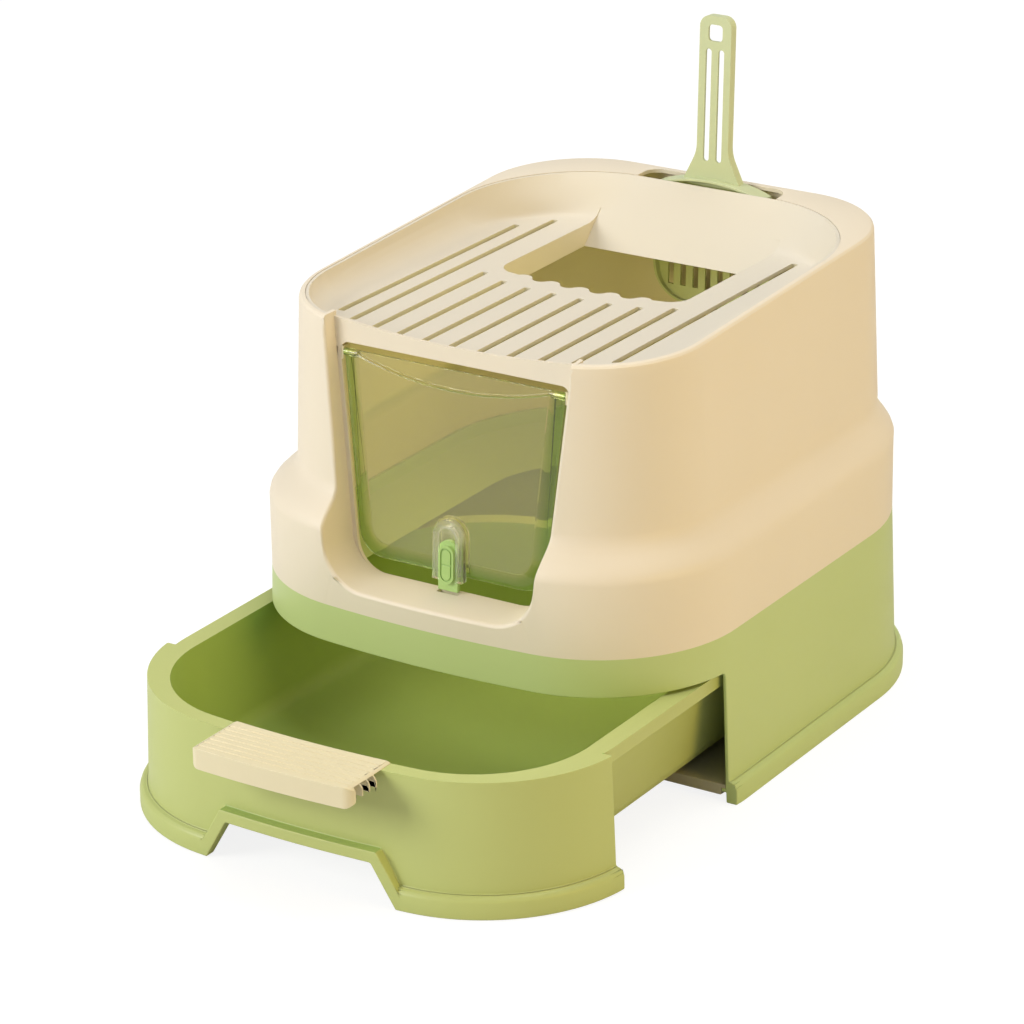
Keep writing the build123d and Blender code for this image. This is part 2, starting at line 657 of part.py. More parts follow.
def ramp_back(rise):
    """How far behind the middle the bowl's back lies at a share of its height."""
    rim_rise = RIM_Z - DECK_SEAM_DROP - DECK_Z
    slope = DECK_SLOPE + rise * (RIM_SLOPE - DECK_SLOPE)
    steepness = tan(RAMP_ANGLE)
    line_y = (DECK_Z + rise * rim_rise - CHUTE_BOTTOM + OPENING_BACK * steepness) / (steepness - slope)
    above = rise * (rim_rise + (RIM_SLOPE - DECK_SLOPE) * line_y)
    if above > RAMP_ROUND * (1 - cos(RAMP_ANGLE)):
        return line_y
    round_y = sqrt(RAMP_ROUND**2 - (RAMP_ROUND - above) ** 2) - RAMP_ROUND * tan(RAMP_ANGLE / 2)
    return line_y - above / steepness + round_y


def deck_section(rise, grow=0.0):
    """Plan of the bowl at a share of its height: it curves out from the deck to the rim."""
    side_left = 1 - sqrt(1 - (1 - rise) ** 2)
    inset = DECK_INSET + BOWL_SIDE_RUN * side_left - grow
    back_shift = HALF_DEPTH - inset - grow - ramp_back(rise)
    return box_outline(inset, back_shift=back_shift, rear_corner=REAR_CORNER - BOWL_CORNER_DROP * side_left)


def bowl(grow=0.0, drop=0.0):
    """Solid that fills the bowl, grown by its wall and lowered at the deck for the outside."""
    with BuildPart() as filled:
        for step in range(BOWL_STEPS + 1):
            rise = (step / BOWL_STEPS) ** 2
            height = DECK_Z - drop + rise * (RIM_Z - DECK_SEAM_DROP - DECK_Z + drop)
            with BuildSketch(tilted_level(height, DECK_SLOPE + rise * (RIM_SLOPE - DECK_SLOPE))):
                add(deck_section(rise, grow))
        loft(ruled=True)
    return filled.part


def top_opening(grow=0.0):
    """Plan of the top opening with its ramp, grown on every side: wavy front edge, round front corners."""
    half = OPENING_HALF + grow
    back = ramp_back(RAMP_SHARE) + grow
    front = OPENING_FRONT - grow
    half_wave = WAVE_PITCH / 2
    with BuildSketch() as plan:
        with BuildLine() as edge:
            for place in range(-2 * WAVE_COUNT, 2 * WAVE_COUNT + 1):
                crest = WAVE_HEIGHT if place % 2 == 0 else -WAVE_HEIGHT
                ends = []
                for x in ((place - 0.5) * half_wave, place * half_wave, (place + 0.5) * half_wave):
                    ends.append((x, front + OPENING_BOW * (x / OPENING_HALF) ** 2))
                ThreePointArc(ends[0], (ends[1][0], ends[1][1] + crest), ends[2])
            corners = edge.vertices().sort_by(Axis.X)
            Polyline(
                corners[0],
                (-half, front + OPENING_BOW),
                (-half, back),
                (half, back),
                (half, front + OPENING_BOW),
                corners[-1],
            )
        make_face()
        ends = plan.vertices().filter_by(
            lambda corner: abs(corner.X) > OPENING_HALF - 1 and corner.Y < half
        )
        fillet(ends, OPENING_ROUND + grow)
    return plan.sketch


def opening_space(height, grow=0.0):
    """Everything inside the top opening up to a height over its foot, down to the ramp at its back."""
    with BuildPart() as space:
        with BuildSketch(level(CHUTE_BOTTOM)):
            add(top_opening(grow))
        extrude(amount=height)
        split(bisect_by=RAMP_PLANE.offset(RAMP_EASE - grow), keep=Keep.TOP)
    return space.part


with BuildPart() as top_deck:
    add(bowl(DECK_WALL, DECK_THICKNESS))
    with BuildSketch(RIM_PLANE.offset(-RIM_THICKNESS)):
        add(box_outline(BAND_INSET - FLANGE_WIDTH, back_shift=BACK_BAND - FLANGE_WIDTH))
        add(box_outline(DECK_INSET - DECK_WALL / 2, back_shift=BACK_BAND), mode=Mode.SUBTRACT)
        with Locations((0, HALF_DEPTH - DECK_INSET - BACK_BAND + DECK_WALL)):
            Rectangle(2 * SLOT_HALF, SLOT_LENGTH, align=(Align.CENTER, Align.MIN), mode=Mode.SUBTRACT)
    extrude(amount=-FLANGE_THICKNESS)
    add(opening_space(DECK_Z - CHUTE_BOTTOM, DECK_WALL))
    add(bowl(), mode=Mode.SUBTRACT)
    add(opening_space(FAR), mode=Mode.SUBTRACT)
    with BuildSketch(level(CHUTE_BOTTOM)):
        for slot_x, slot_front, slot_back in SLOTS:
            with Locations((slot_x, slot_front)):
                RectangleRounded(
                    SLOT_WIDTH,
                    slot_back - slot_front,
                    SLOT_WIDTH / 3,
                    align=(Align.CENTER, Align.MIN),
                )
    extrude(amount=FAR, mode=Mode.SUBTRACT)
    add(bay_space(WALL + SEAM_GAP), mode=Mode.SUBTRACT)
top_deck.part.label = "top_deck"
export_step(top_deck.part, "parts/top_deck.step")

# ---------------------------------------------------------------- door flap
FLAP_FOOT = 13.0
FLAP_TOP = 174.5
FLAP_SIDE_GAP = 2.6  # between the flap and the opening's side, at the sill
FLAP_FOOT_HALF = OPENING_SILL_HALF - FLAP_SIDE_GAP
FLAP_FLARE = 0.101
FLAP_ROUND = 22.0
FLAP_SHEET = 2.2
PANEL_FOOT = 24.0
PANEL_BORDER = 11.5  # plain border beside the raised panel
PANEL_HALF = FLAP_FOOT_HALF - PANEL_BORDER
PANEL_FLARE = 0.1
PANEL_ROUND = 16.0
PANEL_RAISE = 2.5
PANEL_TAPER = 30.0
SMILE_END = 173.0
SMILE_LOW = 160.0
BARREL_RADIUS = 3.0
BARREL_LENGTH = 13.0
PIN_RADIUS = 1.5
PIN_CLEARANCE = 0.05
HOUSING_HALF = 13.2
HOUSING_FOOT = 9.5
HOUSING_TOP = 57.7
HOUSING_GAP = 0.2
FLAP_BACK = HINGE_BACK + FLAP_SHEET / 2
FLAP_FRONT = HINGE_BACK - FLAP_SHEET / 2


def side_half(half_foot, flare, up):
    return half_foot + flare * up


def panel_outline():
    """Raised panel: slanted sides, round lower corners, a sagging arc for its top edge."""
    foot_half = side_half(PANEL_HALF, PANEL_FLARE, PANEL_FOOT)
    end_half = side_half(PANEL_HALF, PANEL_FLARE, SMILE_END)
    with BuildSketch() as outline:
        with BuildLine():
            Polyline(
                (-end_half, SMILE_END),
                (-foot_half, PANEL_FOOT),
                (foot_half, PANEL_FOOT),
                (end_half, SMILE_END),
            )
            ThreePointArc((-end_half, SMILE_END), (0, SMILE_LOW), (end_half, SMILE_END))
        make_face()
        fillet(outline.vertices().group_by(Axis.Y)[0], PANEL_ROUND)
    return outline.sketch


def arch_outline(half, foot, top):
    """Upright slab with a half-round head."""
    with BuildSketch() as outline:
        with BuildLine():
            sides = Polyline((-half, top - half), (-half, foot), (half, foot), (half, top - half))
            ThreePointArc(sides @ 0, (0, top), sides @ 1)
        make_face()
    return outline.sketch


with BuildPart() as door_flap:
    with BuildSketch(DOOR_PLANE.offset(-FLAP_BACK)):
        add(door_outline(FLAP_FOOT_HALF, FLAP_FLARE, FLAP_FOOT, FLAP_TOP, FLAP_ROUND))
    extrude(amount=FLAP_SHEET)
    with BuildSketch(DOOR_PLANE.offset(-FLAP_FRONT)):
        add(panel_outline())
    extrude(amount=PANEL_RAISE, taper=PANEL_TAPER)
    with BuildSketch(DOOR_PLANE.offset(-FLAP_BACK)):
        add(panel_outline())
    extrude(amount=PANEL_RAISE, taper=PANEL_TAPER, mode=Mode.SUBTRACT)
    with BuildSketch(DOOR_PLANE.offset(-FLAP_BACK)):
        add(arch_outline(HOUSING_HALF + FLAP_SHEET, FLAP_FOOT, HOUSING_TOP + FLAP_SHEET))
    extrude(amount=FLAP_SHEET)
    with BuildSketch(DOOR_PLANE.offset(-FLAP_FRONT)):
        add(arch_outline(HOUSING_HALF + HOUSING_GAP, FLAP_FOOT, HOUSING_TOP + HOUSING_GAP))
    extrude(amount=PANEL_RAISE + FLAP_SHEET, mode=Mode.SUBTRACT)
    flap_end = side_half(FLAP_FOOT_HALF, FLAP_FLARE, HINGE_UP)
    for side in (-1, 1):
        barrel_plane = Plane(
            origin=DOOR_PLANE.from_local_coords((side * flap_end, HINGE_UP, -HINGE_BACK)),
            z_dir=(-side, 0, 0),
        )
        with BuildSketch(barrel_plane):
            Circle(BARREL_RADIUS)
        extrude(amount=BARREL_LENGTH)
        with BuildSketch(barrel_plane):
            Circle(PIN_RADIUS + PIN_CLEARANCE)
        extrude(amount=BARREL_LENGTH, both=True, mode=Mode.SUBTRACT)
door_flap.part.label = "door_flap"
export_step(door_flap.part, "parts/door_flap.step")

# ---------------------------------------------------------------- hinge clips
CLIP_GAP = 0.6  # between the clip and the flap
CLIP_LOW = 166.0
CLIP_HIGH = 176.5
CLIP_FRONT = 0.6  # the clip stands this far in front of the door plane
PIN_LENGTH = 12.0

for side, name in ((-1, "hinge_clip_left"), (1, "hinge_clip_right")):
    opening_half = side_half(OPENING_SILL_HALF, OPENING_FLARE, (BOSS_LOW + BOSS_HIGH) / 2)
    inner = side_half(FLAP_FOOT_HALF, FLAP_FLARE, HINGE_UP) + CLIP_GAP
    outer = side_half(OPENING_SILL_HALF, OPENING_FLARE, CLIP_LOW) - CLIP_GAP / 2
    clip_plane = Plane(
        origin=DOOR_PLANE.from_local_coords((side * outer, HINGE_UP, -HINGE_BACK)),
        z_dir=(-side, 0, 0),
        x_dir=DOOR_UP,
    )
    with BuildPart() as hinge_clip:
        with BuildSketch(DOOR_PLANE.offset(CLIP_FRONT)):
            with Locations((side * (inner + outer) / 2, (CLIP_LOW + CLIP_HIGH) / 2)):
                RectangleRounded(outer - inner, CLIP_HIGH - CLIP_LOW, (outer - inner) / 3)
        extrude(amount=-CLIP_FRONT - PEG_FRONT - PEG_THICKNESS)
        with BuildSketch(DOOR_PLANE.offset(-PEG_FRONT - SEAM_GAP / 2)):
            with Locations((side * (inner + opening_half + PEG_LENGTH) / 2, (PEG_LOW + PEG_HIGH) / 2)):
                Rectangle(opening_half + PEG_LENGTH - inner, PEG_HIGH - PEG_LOW - SEAM_GAP)
        extrude(amount=SEAM_GAP - PEG_THICKNESS)
        with BuildSketch(clip_plane):
            Circle(PIN_RADIUS)
        extrude(amount=PIN_LENGTH)
    hinge_clip.part.label = name
    export_step(hinge_clip.part, f"parts/{name}.step")

# ---------------------------------------------------------------- latch
HOUSING_FRONT = 6.4
HOUSING_LIP_THICKNESS = 1.2
LATCH_FOOT = 1.2
LATCH_TOP = 41.5
LATCH_GAP = 0.3
PAD_HALF = 7.0
PAD_LOW = 7.5
PAD_HIGH = 38.0
PAD_RAISE = 1.6
PAD_GROOVE = 1.0

with BuildPart() as latch_housing:
    with BuildSketch(DOOR_PLANE.offset(-FLAP_FRONT)):
        add(arch_outline(HOUSING_HALF, HOUSING_FOOT, HOUSING_TOP))
    extrude(amount=HOUSING_FRONT + FLAP_FRONT)
    with BuildSketch(DOOR_PLANE.offset(LATCH_BACK - LATCH_GAP)):
        add(arch_outline(LATCH_HALF + LATCH_GAP, HOUSING_FOOT - 1, HOUSING_TOP - HOUSING_HALF + LATCH_HALF))
    extrude(amount=HOUSING_FRONT - HOUSING_LIP_THICKNESS - LATCH_BACK + LATCH_GAP, mode=Mode.SUBTRACT)
    with BuildSketch(DOOR_PLANE.offset(LATCH_BACK)):
        add(arch_outline(PAD_HALF + LATCH_GAP, HOUSING_FOOT - 1, HOUSING_TOP - HOUSING_HALF + PAD_HALF))
    extrude(amount=HOUSING_FRONT, mode=Mode.SUBTRACT)
latch_housing.part.label = "latch_housing"
export_step(latch_housing.part, "parts/latch_housing.step")

with BuildPart() as latch_slider:
    with BuildSketch(DOOR_PLANE.offset(LATCH_BACK)):
        add(arch_outline(LATCH_HALF, LATCH_FOOT, LATCH_TOP))
    extrude(amount=HOUSING_FRONT - HOUSING_LIP_THICKNESS - LATCH_BACK - LATCH_GAP)
    with BuildSketch(DOOR_PLANE.offset(LATCH_BACK)) as pad:
        with Locations((0, (PAD_LOW + PAD_HIGH) / 2)):
            SlotOverall(PAD_HIGH - PAD_LOW, 2 * (PAD_HALF - LATCH_GAP), rotation=90)
    extrude(amount=HOUSING_FRONT - LATCH_BACK + PAD_RAISE)
    with BuildSketch(DOOR_PLANE.offset(HOUSING_FRONT + PAD_RAISE)):
        with Locations((0, (PAD_LOW + PAD_HIGH) / 2)):
            SlotOverall(PAD_HIGH - PAD_LOW - 4 * PAD_GROOVE, 2 * (PAD_HALF - 2 * PAD_GROOVE), rotation=90)
            SlotOverall(
                PAD_HIGH - PAD_LOW - 6 * PAD_GROOVE,
                2 * (PAD_HALF - 3 * PAD_GROOVE),
                rotation=90,
                mode=Mode.SUBTRACT,
            )
            Rectangle(2 * (PAD_HALF - 2 * PAD_GROOVE), PAD_GROOVE)
    extrude(amount=-PAD_GROOVE, mode=Mode.SUBTRACT)
latch_slider.part.label = "latch_slider"
export_step(latch_slider.part, "parts/latch_slider.step")

# ---------------------------------------------------------------- scoop
SCOOP_LEAN = 3.0
SCOOP_Z = RIM_BACK_Z  # its origin lies in the slot
SCOOP_BACK = 39.0  # its back face, in from the box's back
SCOOP_WALL = 2.2
SCOOP_DEPTH = 18.0
SCOOP_LIP_DEPTH = 5.0
BOWL_TOP_HALF = 50.0
BOWL_HALF = 56.0
BOWL_FOOT_HALF = 51.0
BOWL_SHOULDER = -6.0
BOWL_CROWN = 3.0
BOWL_WIDEST = -58.0
BOWL_FOOT = -108.0
BOWL_FOOT_ROUND = 30.0
SIEVE_COLUMNS = 8
SIEVE_PITCH = 11.6
SIEVE_WIDTH = 5.2
SIEVE_ROWS = ((-94.0, -34.0), (-28.0, -8.0))
SHAFT_HALF = 14.5
SHAFT_FLARE = 28.0
SHAFT_FLARE_TOP = 24.0
SHAFT_TOP = 137.0
SHAFT_ROUND = 9.0
SHAFT_FRONT = 11.0
SHAFT_BACK = 3.0
SHAFT_SLOT_X = 5.8
SHAFT_SLOT_WIDTH = 5.4
SHAFT_SLOT = (17.0, 110.0)
HANG_HOLE = (116.5, 130.0)
HANG_HOLE_WIDTH = 13.0
SCOOP_PLANE = Plane(
    origin=(0, BOX_Y + HALF_DEPTH - SCOOP_BACK, SCOOP_Z),
    x_dir=(1, 0, 0),
    z_dir=(0, -cos(radians(SCOOP_LEAN)), sin(radians(SCOOP_LEAN))),
)


def bowl_outline(inward=0.0):
    """Scoop bowl from the front: arched top, swelling sides, round lower corners."""
    with BuildSketch() as outline:
        with BuildLine():
            Polyline(
                (-BOWL_TOP_HALF, BOWL_SHOULDER),
                (-BOWL_HALF, BOWL_WIDEST),
                (-BOWL_FOOT_HALF, BOWL_FOOT),
                (BOWL_FOOT_HALF, BOWL_FOOT),
                (BOWL_HALF, BOWL_WIDEST),
                (BOWL_TOP_HALF, BOWL_SHOULDER),
            )
            ThreePointArc((-BOWL_TOP_HALF, BOWL_SHOULDER), (0, BOWL_CROWN), (BOWL_TOP_HALF, BOWL_SHOULDER))
        make_face()
        fillet(outline.vertices().group_by(Axis.Y)[0], BOWL_FOOT_ROUND)
        if inward:
            offset(amount=-inward)
    return outline.sketch


def shaft_outline(inward=0.0):
    """Scoop handle from the front: straight shaft with a flared root and a rounded end."""
    with BuildSketch() as outline:
        with BuildLine():
            Polyline(
                (-SHAFT_FLARE, BOWL_SHOULDER + SCOOP_WALL),
                (-SHAFT_HALF, SHAFT_FLARE_TOP),
                (-SHAFT_HALF, SHAFT_TOP),
                (SHAFT_HALF, SHAFT_TOP),
                (SHAFT_HALF, SHAFT_FLARE_TOP),
                (SHAFT_FLARE, BOWL_SHOULDER + SCOOP_WALL),
                close=True,
            )
        make_face()
        fillet(outline.vertices().group_by(Axis.Y)[-1], SHAFT_ROUND)
        flare_corners = outline.vertices().filter_by_position(Axis.Y, SHAFT_FLARE_TOP, SHAFT_FLARE_TOP)
        fillet(flare_corners, BOWL_FOOT_ROUND)
        if inward:
            offset(amount=-inward)
    return outline.sketch


with BuildPart() as scoop:
    with BuildSketch(SCOOP_PLANE):
        add(bowl_outline())
    extrude(amount=SCOOP_DEPTH)
    with BuildSketch(SCOOP_PLANE.offset(SCOOP_WALL)):
        add(bowl_outline(SCOOP_WALL))
    extrude(amount=SCOOP_DEPTH, mode=Mode.SUBTRACT)
    lip_angle = degrees(atan2(SCOOP_DEPTH - SCOOP_LIP_DEPTH, -BOWL_FOOT))
    split(bisect_by=SCOOP_PLANE.offset(SCOOP_DEPTH).rotated((lip_angle, 0, 0)), keep=Keep.BOTTOM)
    with BuildSketch(SCOOP_PLANE.offset(SHAFT_BACK)):
        add(shaft_outline())
    extrude(amount=SHAFT_FRONT - SHAFT_BACK)
    with BuildSketch(SCOOP_PLANE.offset(SHAFT_BACK)):
        add(shaft_outline(SCOOP_WALL))
        with Locations((0, BOWL_CROWN + SCOOP_WALL)):
            Rectangle(FAR, FAR, align=(Align.CENTER, Align.MIN), mode=Mode.INTERSECT)
    extrude(amount=SHAFT_FRONT - SHAFT_BACK - SCOOP_WALL, mode=Mode.SUBTRACT)
    with BuildSketch(SCOOP_PLANE):
        for column in range(SIEVE_COLUMNS):
            for low, high in SIEVE_ROWS:
                with Locations(((column - (SIEVE_COLUMNS - 1) / 2) * SIEVE_PITCH, (low + high) / 2)):
                    Rectangle(SIEVE_WIDTH, high - low)
        for slot_x in (-SHAFT_SLOT_X, SHAFT_SLOT_X):
            with Locations((slot_x, sum(SHAFT_SLOT) / 2)):
                SlotOverall(SHAFT_SLOT[1] - SHAFT_SLOT[0], SHAFT_SLOT_WIDTH, rotation=90)
        with Locations((0, sum(HANG_HOLE) / 2)):
            RectangleRounded(HANG_HOLE_WIDTH, HANG_HOLE[1] - HANG_HOLE[0], HANG_HOLE_WIDTH / 4)
    extrude(amount=SCOOP_DEPTH, mode=Mode.SUBTRACT)
scoop.part.label = "scoop"
export_step(scoop.part, "parts/scoop.step")
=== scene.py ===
"""Looks of a drawer litter box: moulded housings, a clear flap, a litter drawer and a scoop."""

import logging
import math
from dataclasses import dataclass, field
from enum import Enum
from typing import Callable, Sequence

import bmesh
import bpy
import numpy as np
from mathutils import Matrix, Vector


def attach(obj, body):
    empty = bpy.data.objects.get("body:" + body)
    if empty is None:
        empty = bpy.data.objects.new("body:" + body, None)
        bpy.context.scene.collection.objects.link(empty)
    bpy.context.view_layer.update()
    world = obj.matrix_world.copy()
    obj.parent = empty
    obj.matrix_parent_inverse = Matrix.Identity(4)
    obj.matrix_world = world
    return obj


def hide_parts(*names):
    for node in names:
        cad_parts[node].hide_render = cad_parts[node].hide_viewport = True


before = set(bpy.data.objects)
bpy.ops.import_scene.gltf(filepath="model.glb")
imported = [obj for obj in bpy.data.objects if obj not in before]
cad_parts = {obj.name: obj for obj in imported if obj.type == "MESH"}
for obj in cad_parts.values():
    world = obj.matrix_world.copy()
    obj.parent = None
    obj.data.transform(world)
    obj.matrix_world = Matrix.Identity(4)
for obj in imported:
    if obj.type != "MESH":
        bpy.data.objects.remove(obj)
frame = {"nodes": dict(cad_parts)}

LOG = logging.getLogger("litter_box")
MM = 0.001
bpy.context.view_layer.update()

# Two points nearer than this, in metres, are one
MERGE_STEP = 2e-6

# Sockets of a colour Mix node
MIX_SHARE, MIX_FIRST, MIX_SECOND, MIX_RESULT = 0, 6, 7, 2

# Settled dust, as an 8-bit display colour
DUST_TONE = (232, 226, 210)


class Slot(Enum):
    """Material slots of the record."""

    HOUSING = "green_housing"
    DRAWER = "green_drawer"
    FLOOR = "grey_floor"
    COVER = "cream_cover"
    DECK = "cream_deck"
    TRIM = "cream_trim"
    FLAP = "clear_flap"
    LATCH = "green_latch"
    SCOOP = "green_scoop"


def srgb(red: int, green: int, blue: int) -> tuple[float, float, float, float]:
    """Turn an 8-bit display colour into a linear one.

    The sRGB curve: a straight line near black, and a power of 2.4 above it.

    Args:
        red: Red, 0 to 255.
        green: Green, 0 to 255.
        blue: Blue, 0 to 255.

    Returns:
        Linear red, green, blue and an alpha of 1.
    """
    values = np.array((red, green, blue)) / 255.0
    linear = np.where(values <= 0.04045, values / 12.92, ((values + 0.055) / 1.055) ** 2.4)
    return (float(linear[0]), float(linear[1]), float(linear[2]), 1.0)


# ------------------------------------------------------------------ node groups
class GroupBuilder:
    """A shader node group under construction."""

    def __init__(self, name: str) -> None:
        """Start an empty group.

        Args:
            name: Name of the group.
        """
        self.tree = bpy.data.node_groups.new(name, "ShaderNodeTree")
        self.source = self.tree.nodes.new("NodeGroupInput")
        self.sink = self.tree.nodes.new("NodeGroupOutput")

    def socket(self, name: str, kind: str, value: object = None, output: bool = False) -> None:
        """Add an input or an output.

        Args:
            name: Name of the socket.
            kind: Socket type, such as NodeSocketFloat.
            value: Default value of an input.
            output: Whether it is an output.
        """
        way = "OUTPUT" if output else "INPUT"
        made = self.tree.interface.new_socket(name=name, in_out=way, socket_type=kind)
        if value is not None:
            made.default_value = value

    def add(self, kind: str, **settings: object) -> bpy.types.Node:
        """Add a node and set its properties.

        Args:
            kind: Node type without its ShaderNode prefix.
            settings: Properties of the node.

        Returns:
            The node.
        """
        node = self.tree.nodes.new("ShaderNode" + kind)
        for key, value in settings.items():
            setattr(node, key, value)
        return node

    def link(self, start: bpy.types.NodeSocket, end: bpy.types.NodeSocket) -> None:
        """Join two sockets."""
        self.tree.links.new(start, end)

    def math(
        self, operation: str, first: object, second: object = None, clamp: bool = False
    ) -> bpy.types.NodeSocket:
        """Add a Math node.

        Args:
            operation: The node's operation.
            first: Socket or number.
            second: Socket or number.
            clamp: Whether the result is held between 0 and 1.

        Returns:
            The result's socket.
        """
        node = self.add("Math", operation=operation, use_clamp=clamp)
        for place, value in enumerate((first, second)):
            if isinstance(value, bpy.types.NodeSocket):
                self.link(value, node.inputs[place])
            elif value is not None:
                node.inputs[place].default_value = value
        return node.outputs[0]

    def noise(
        self,
        scale: object,
        detail: float = 2.0,
        roughness: float = 0.5,
        stretch: Sequence[float] = (1, 1, 1),
    ) -> bpy.types.NodeSocket:
        """Add noise on Object coordinates.

        Args:
            scale: Socket or number, cycles to a metre.
            detail: Octaves of the noise.
            roughness: Share of the fine octaves.
            stretch: Factors along X, Y and Z.

        Returns:
            The socket of its value.
        """
        place = self.add("TexCoord")
        turn = self.add("Mapping")
        turn.inputs["Scale"].default_value = stretch
        self.link(place.outputs["Object"], turn.inputs["Vector"])
        node = self.add("TexNoise")
        node.inputs["Detail"].default_value = detail
        node.inputs["Roughness"].default_value = roughness
        self.link(turn.outputs["Vector"], node.inputs["Vector"])
        if isinstance(scale, bpy.types.NodeSocket):
            self.link(scale, node.inputs["Scale"])
        else:
            node.inputs["Scale"].default_value = scale
        return node.outputs["Fac"]


def mottle_group() -> bpy.types.NodeTree:
    """Colour of a moulded pigment: two tones that drift over the piece, with a few fine specks.

    Returns:
        Group with Tone, Shade, Drift and Specks, and the output Colour.
    """
    group = GroupBuilder("pigment_mottle")
    group.socket("Tone", "NodeSocketColor", (0.8, 0.8, 0.8, 1.0))
    group.socket("Shade", "NodeSocketColor", (0.7, 0.7, 0.7, 1.0))
    group.socket("Drift", "NodeSocketFloat", 0.5)
    group.socket("Specks", "NodeSocketFloat", 0.1)
    group.socket("Colour", "NodeSocketColor", output=True)
    wide = group.noise(5.0, detail=3.0, stretch=(1.0, 1.0, 0.45))
    span = group.add("MapRange")
    span.inputs["From Min"].default_value = 0.35
    span.inputs["From Max"].default_value = 0.65
    group.link(wide, span.inputs["Value"])
    asked = group.source.outputs
    drift = group.math("MULTIPLY", span.outputs["Result"], asked["Drift"], clamp=True)
    fine = group.noise(900.0, detail=1.0)
    speck = group.add("MapRange")
    speck.inputs["From Min"].default_value = 0.62
    speck.inputs["From Max"].default_value = 0.74
    group.link(fine, speck.inputs["Value"])
    specks = group.math("MULTIPLY", speck.outputs["Result"], asked["Specks"], clamp=True)
    share = group.math("MAXIMUM", drift, specks)
    mix = group.add("Mix", data_type="RGBA")
    group.link(share, mix.inputs[MIX_SHARE])
    group.link(asked["Tone"], mix.inputs[MIX_FIRST])
    group.link(asked["Shade"], mix.inputs[MIX_SECOND])
    group.link(mix.outputs[MIX_RESULT], group.sink.inputs["Colour"])
    return group.tree


def grain_group() -> bpy.types.NodeTree:
    """Fine spark-eroded texture of a mould: close pits over a slow orange peel.

    Returns:
        Group with Pits and Peel in cycles to a metre, and the outputs Height and Sheen.
    """
    group = GroupBuilder("mould_grain")
    group.socket("Pits", "NodeSocketFloat", 1500.0)
    group.socket("Peel", "NodeSocketFloat", 160.0)
    group.socket("Height", "NodeSocketFloat", output=True)
    group.socket("Sheen", "NodeSocketFloat", output=True)
    pits = group.noise(group.source.outputs["Pits"], detail=2.0, roughness=0.6)
    peel = group.noise(group.source.outputs["Peel"], detail=1.0)
    low = group.math("MULTIPLY", peel, 0.35)
    high = group.math("MULTIPLY", pits, 0.65)
    group.link(group.math("ADD", low, high), group.sink.inputs["Height"])
    smears = group.noise(14.0, detail=4.0, stretch=(1.0, 1.0, 2.5))
    group.link(smears, group.sink.inputs["Sheen"])
    return group.tree


def dust_group() -> bpy.types.NodeTree:
    """Mask of a light dust that settles on faces that look up, in soft patches.

    Returns:
        Group with Cover, how much settles, and the output Mask.
    """
    group = GroupBuilder("settled_dust")
    group.socket("Cover", "NodeSocketFloat", 0.2)
    group.socket("Mask", "NodeSocketFloat", output=True)
    shape = group.add("NewGeometry")
    axes = group.add("SeparateXYZ")
    group.link(shape.outputs["Normal"], axes.inputs["Vector"])
    upward = group.math("MULTIPLY", axes.outputs["Z"], 1.0, clamp=True)
    patches = group.noise(9.0, detail=5.0, roughness=0.6)
    settled = group.math("MULTIPLY", group.math("POWER", upward, 3.0), patches)
    mask = group.math("MULTIPLY", settled, group.source.outputs["Cover"], clamp=True)
    group.link(mask, group.sink.inputs["Mask"])
    return group.tree


class Groups:
    """The shared node groups, each built once."""

    def __init__(self) -> None:
        """Build the groups."""
        self.mottle = mottle_group()
        self.grain = grain_group()
        self.dust = dust_group()


# ------------------------------------------------------------------ finishes
@dataclass(frozen=True)
class MouldedPlastic:
    """Satin moulded plastic with a fine grain."""

    name: str
    tone: tuple[float, float, float, float]
    shade: tuple[float, float, float, float]
    roughness: float = 0.5
    roughness_spread: float = 0.1
    drift: float = 0.35
    specks: float = 0.04
    pits: float = 1500.0
    peel: float = 160.0
    relief: float = 0.00004
    dust: float = 0.06

    def material(self, groups: Groups) -> bpy.types.Material:
        """Build the material.

        Args:
            groups: The shared node groups.

        Returns:
            The material.
        """
        made = bpy.data.materials.new(self.name)
        made.use_nodes = True
        tree = made.node_tree
        shader = tree.nodes["Principled BSDF"]
        tones = {"Tone": self.tone, "Shade": self.shade}
        mottle = group_node(tree, groups.mottle, **tones, Drift=self.drift, Specks=self.specks)
        dust = group_node(tree, groups.dust, Cover=self.dust)
        veil = tree.nodes.new("ShaderNodeMix")
        veil.data_type = "RGBA"
        tree.links.new(dust.outputs["Mask"], veil.inputs[MIX_SHARE])
        tree.links.new(mottle.outputs["Colour"], veil.inputs[MIX_FIRST])
        veil.inputs[MIX_SECOND].default_value = srgb(*DUST_TONE)
        tree.links.new(veil.outputs[MIX_RESULT], shader.inputs["Base Color"])
        grain = group_node(tree, groups.grain, Pits=self.pits, Peel=self.peel)
        spread = tree.nodes.new("ShaderNodeMapRange")
        spread.inputs["To Min"].default_value = self.roughness - self.roughness_spread
        spread.inputs["To Max"].default_value = self.roughness + self.roughness_spread
        tree.links.new(grain.outputs["Sheen"], spread.inputs["Value"])
        tree.links.new(spread.outputs["Result"], shader.inputs["Roughness"])
        bump = tree.nodes.new("ShaderNodeBump")
        bump.inputs["Strength"].default_value = 1.0
        bump.inputs["Distance"].default_value = self.relief
        tree.links.new(grain.outputs["Height"], bump.inputs["Height"])
        tree.links.new(bump.outputs["Normal"], shader.inputs["Normal"])
        return made


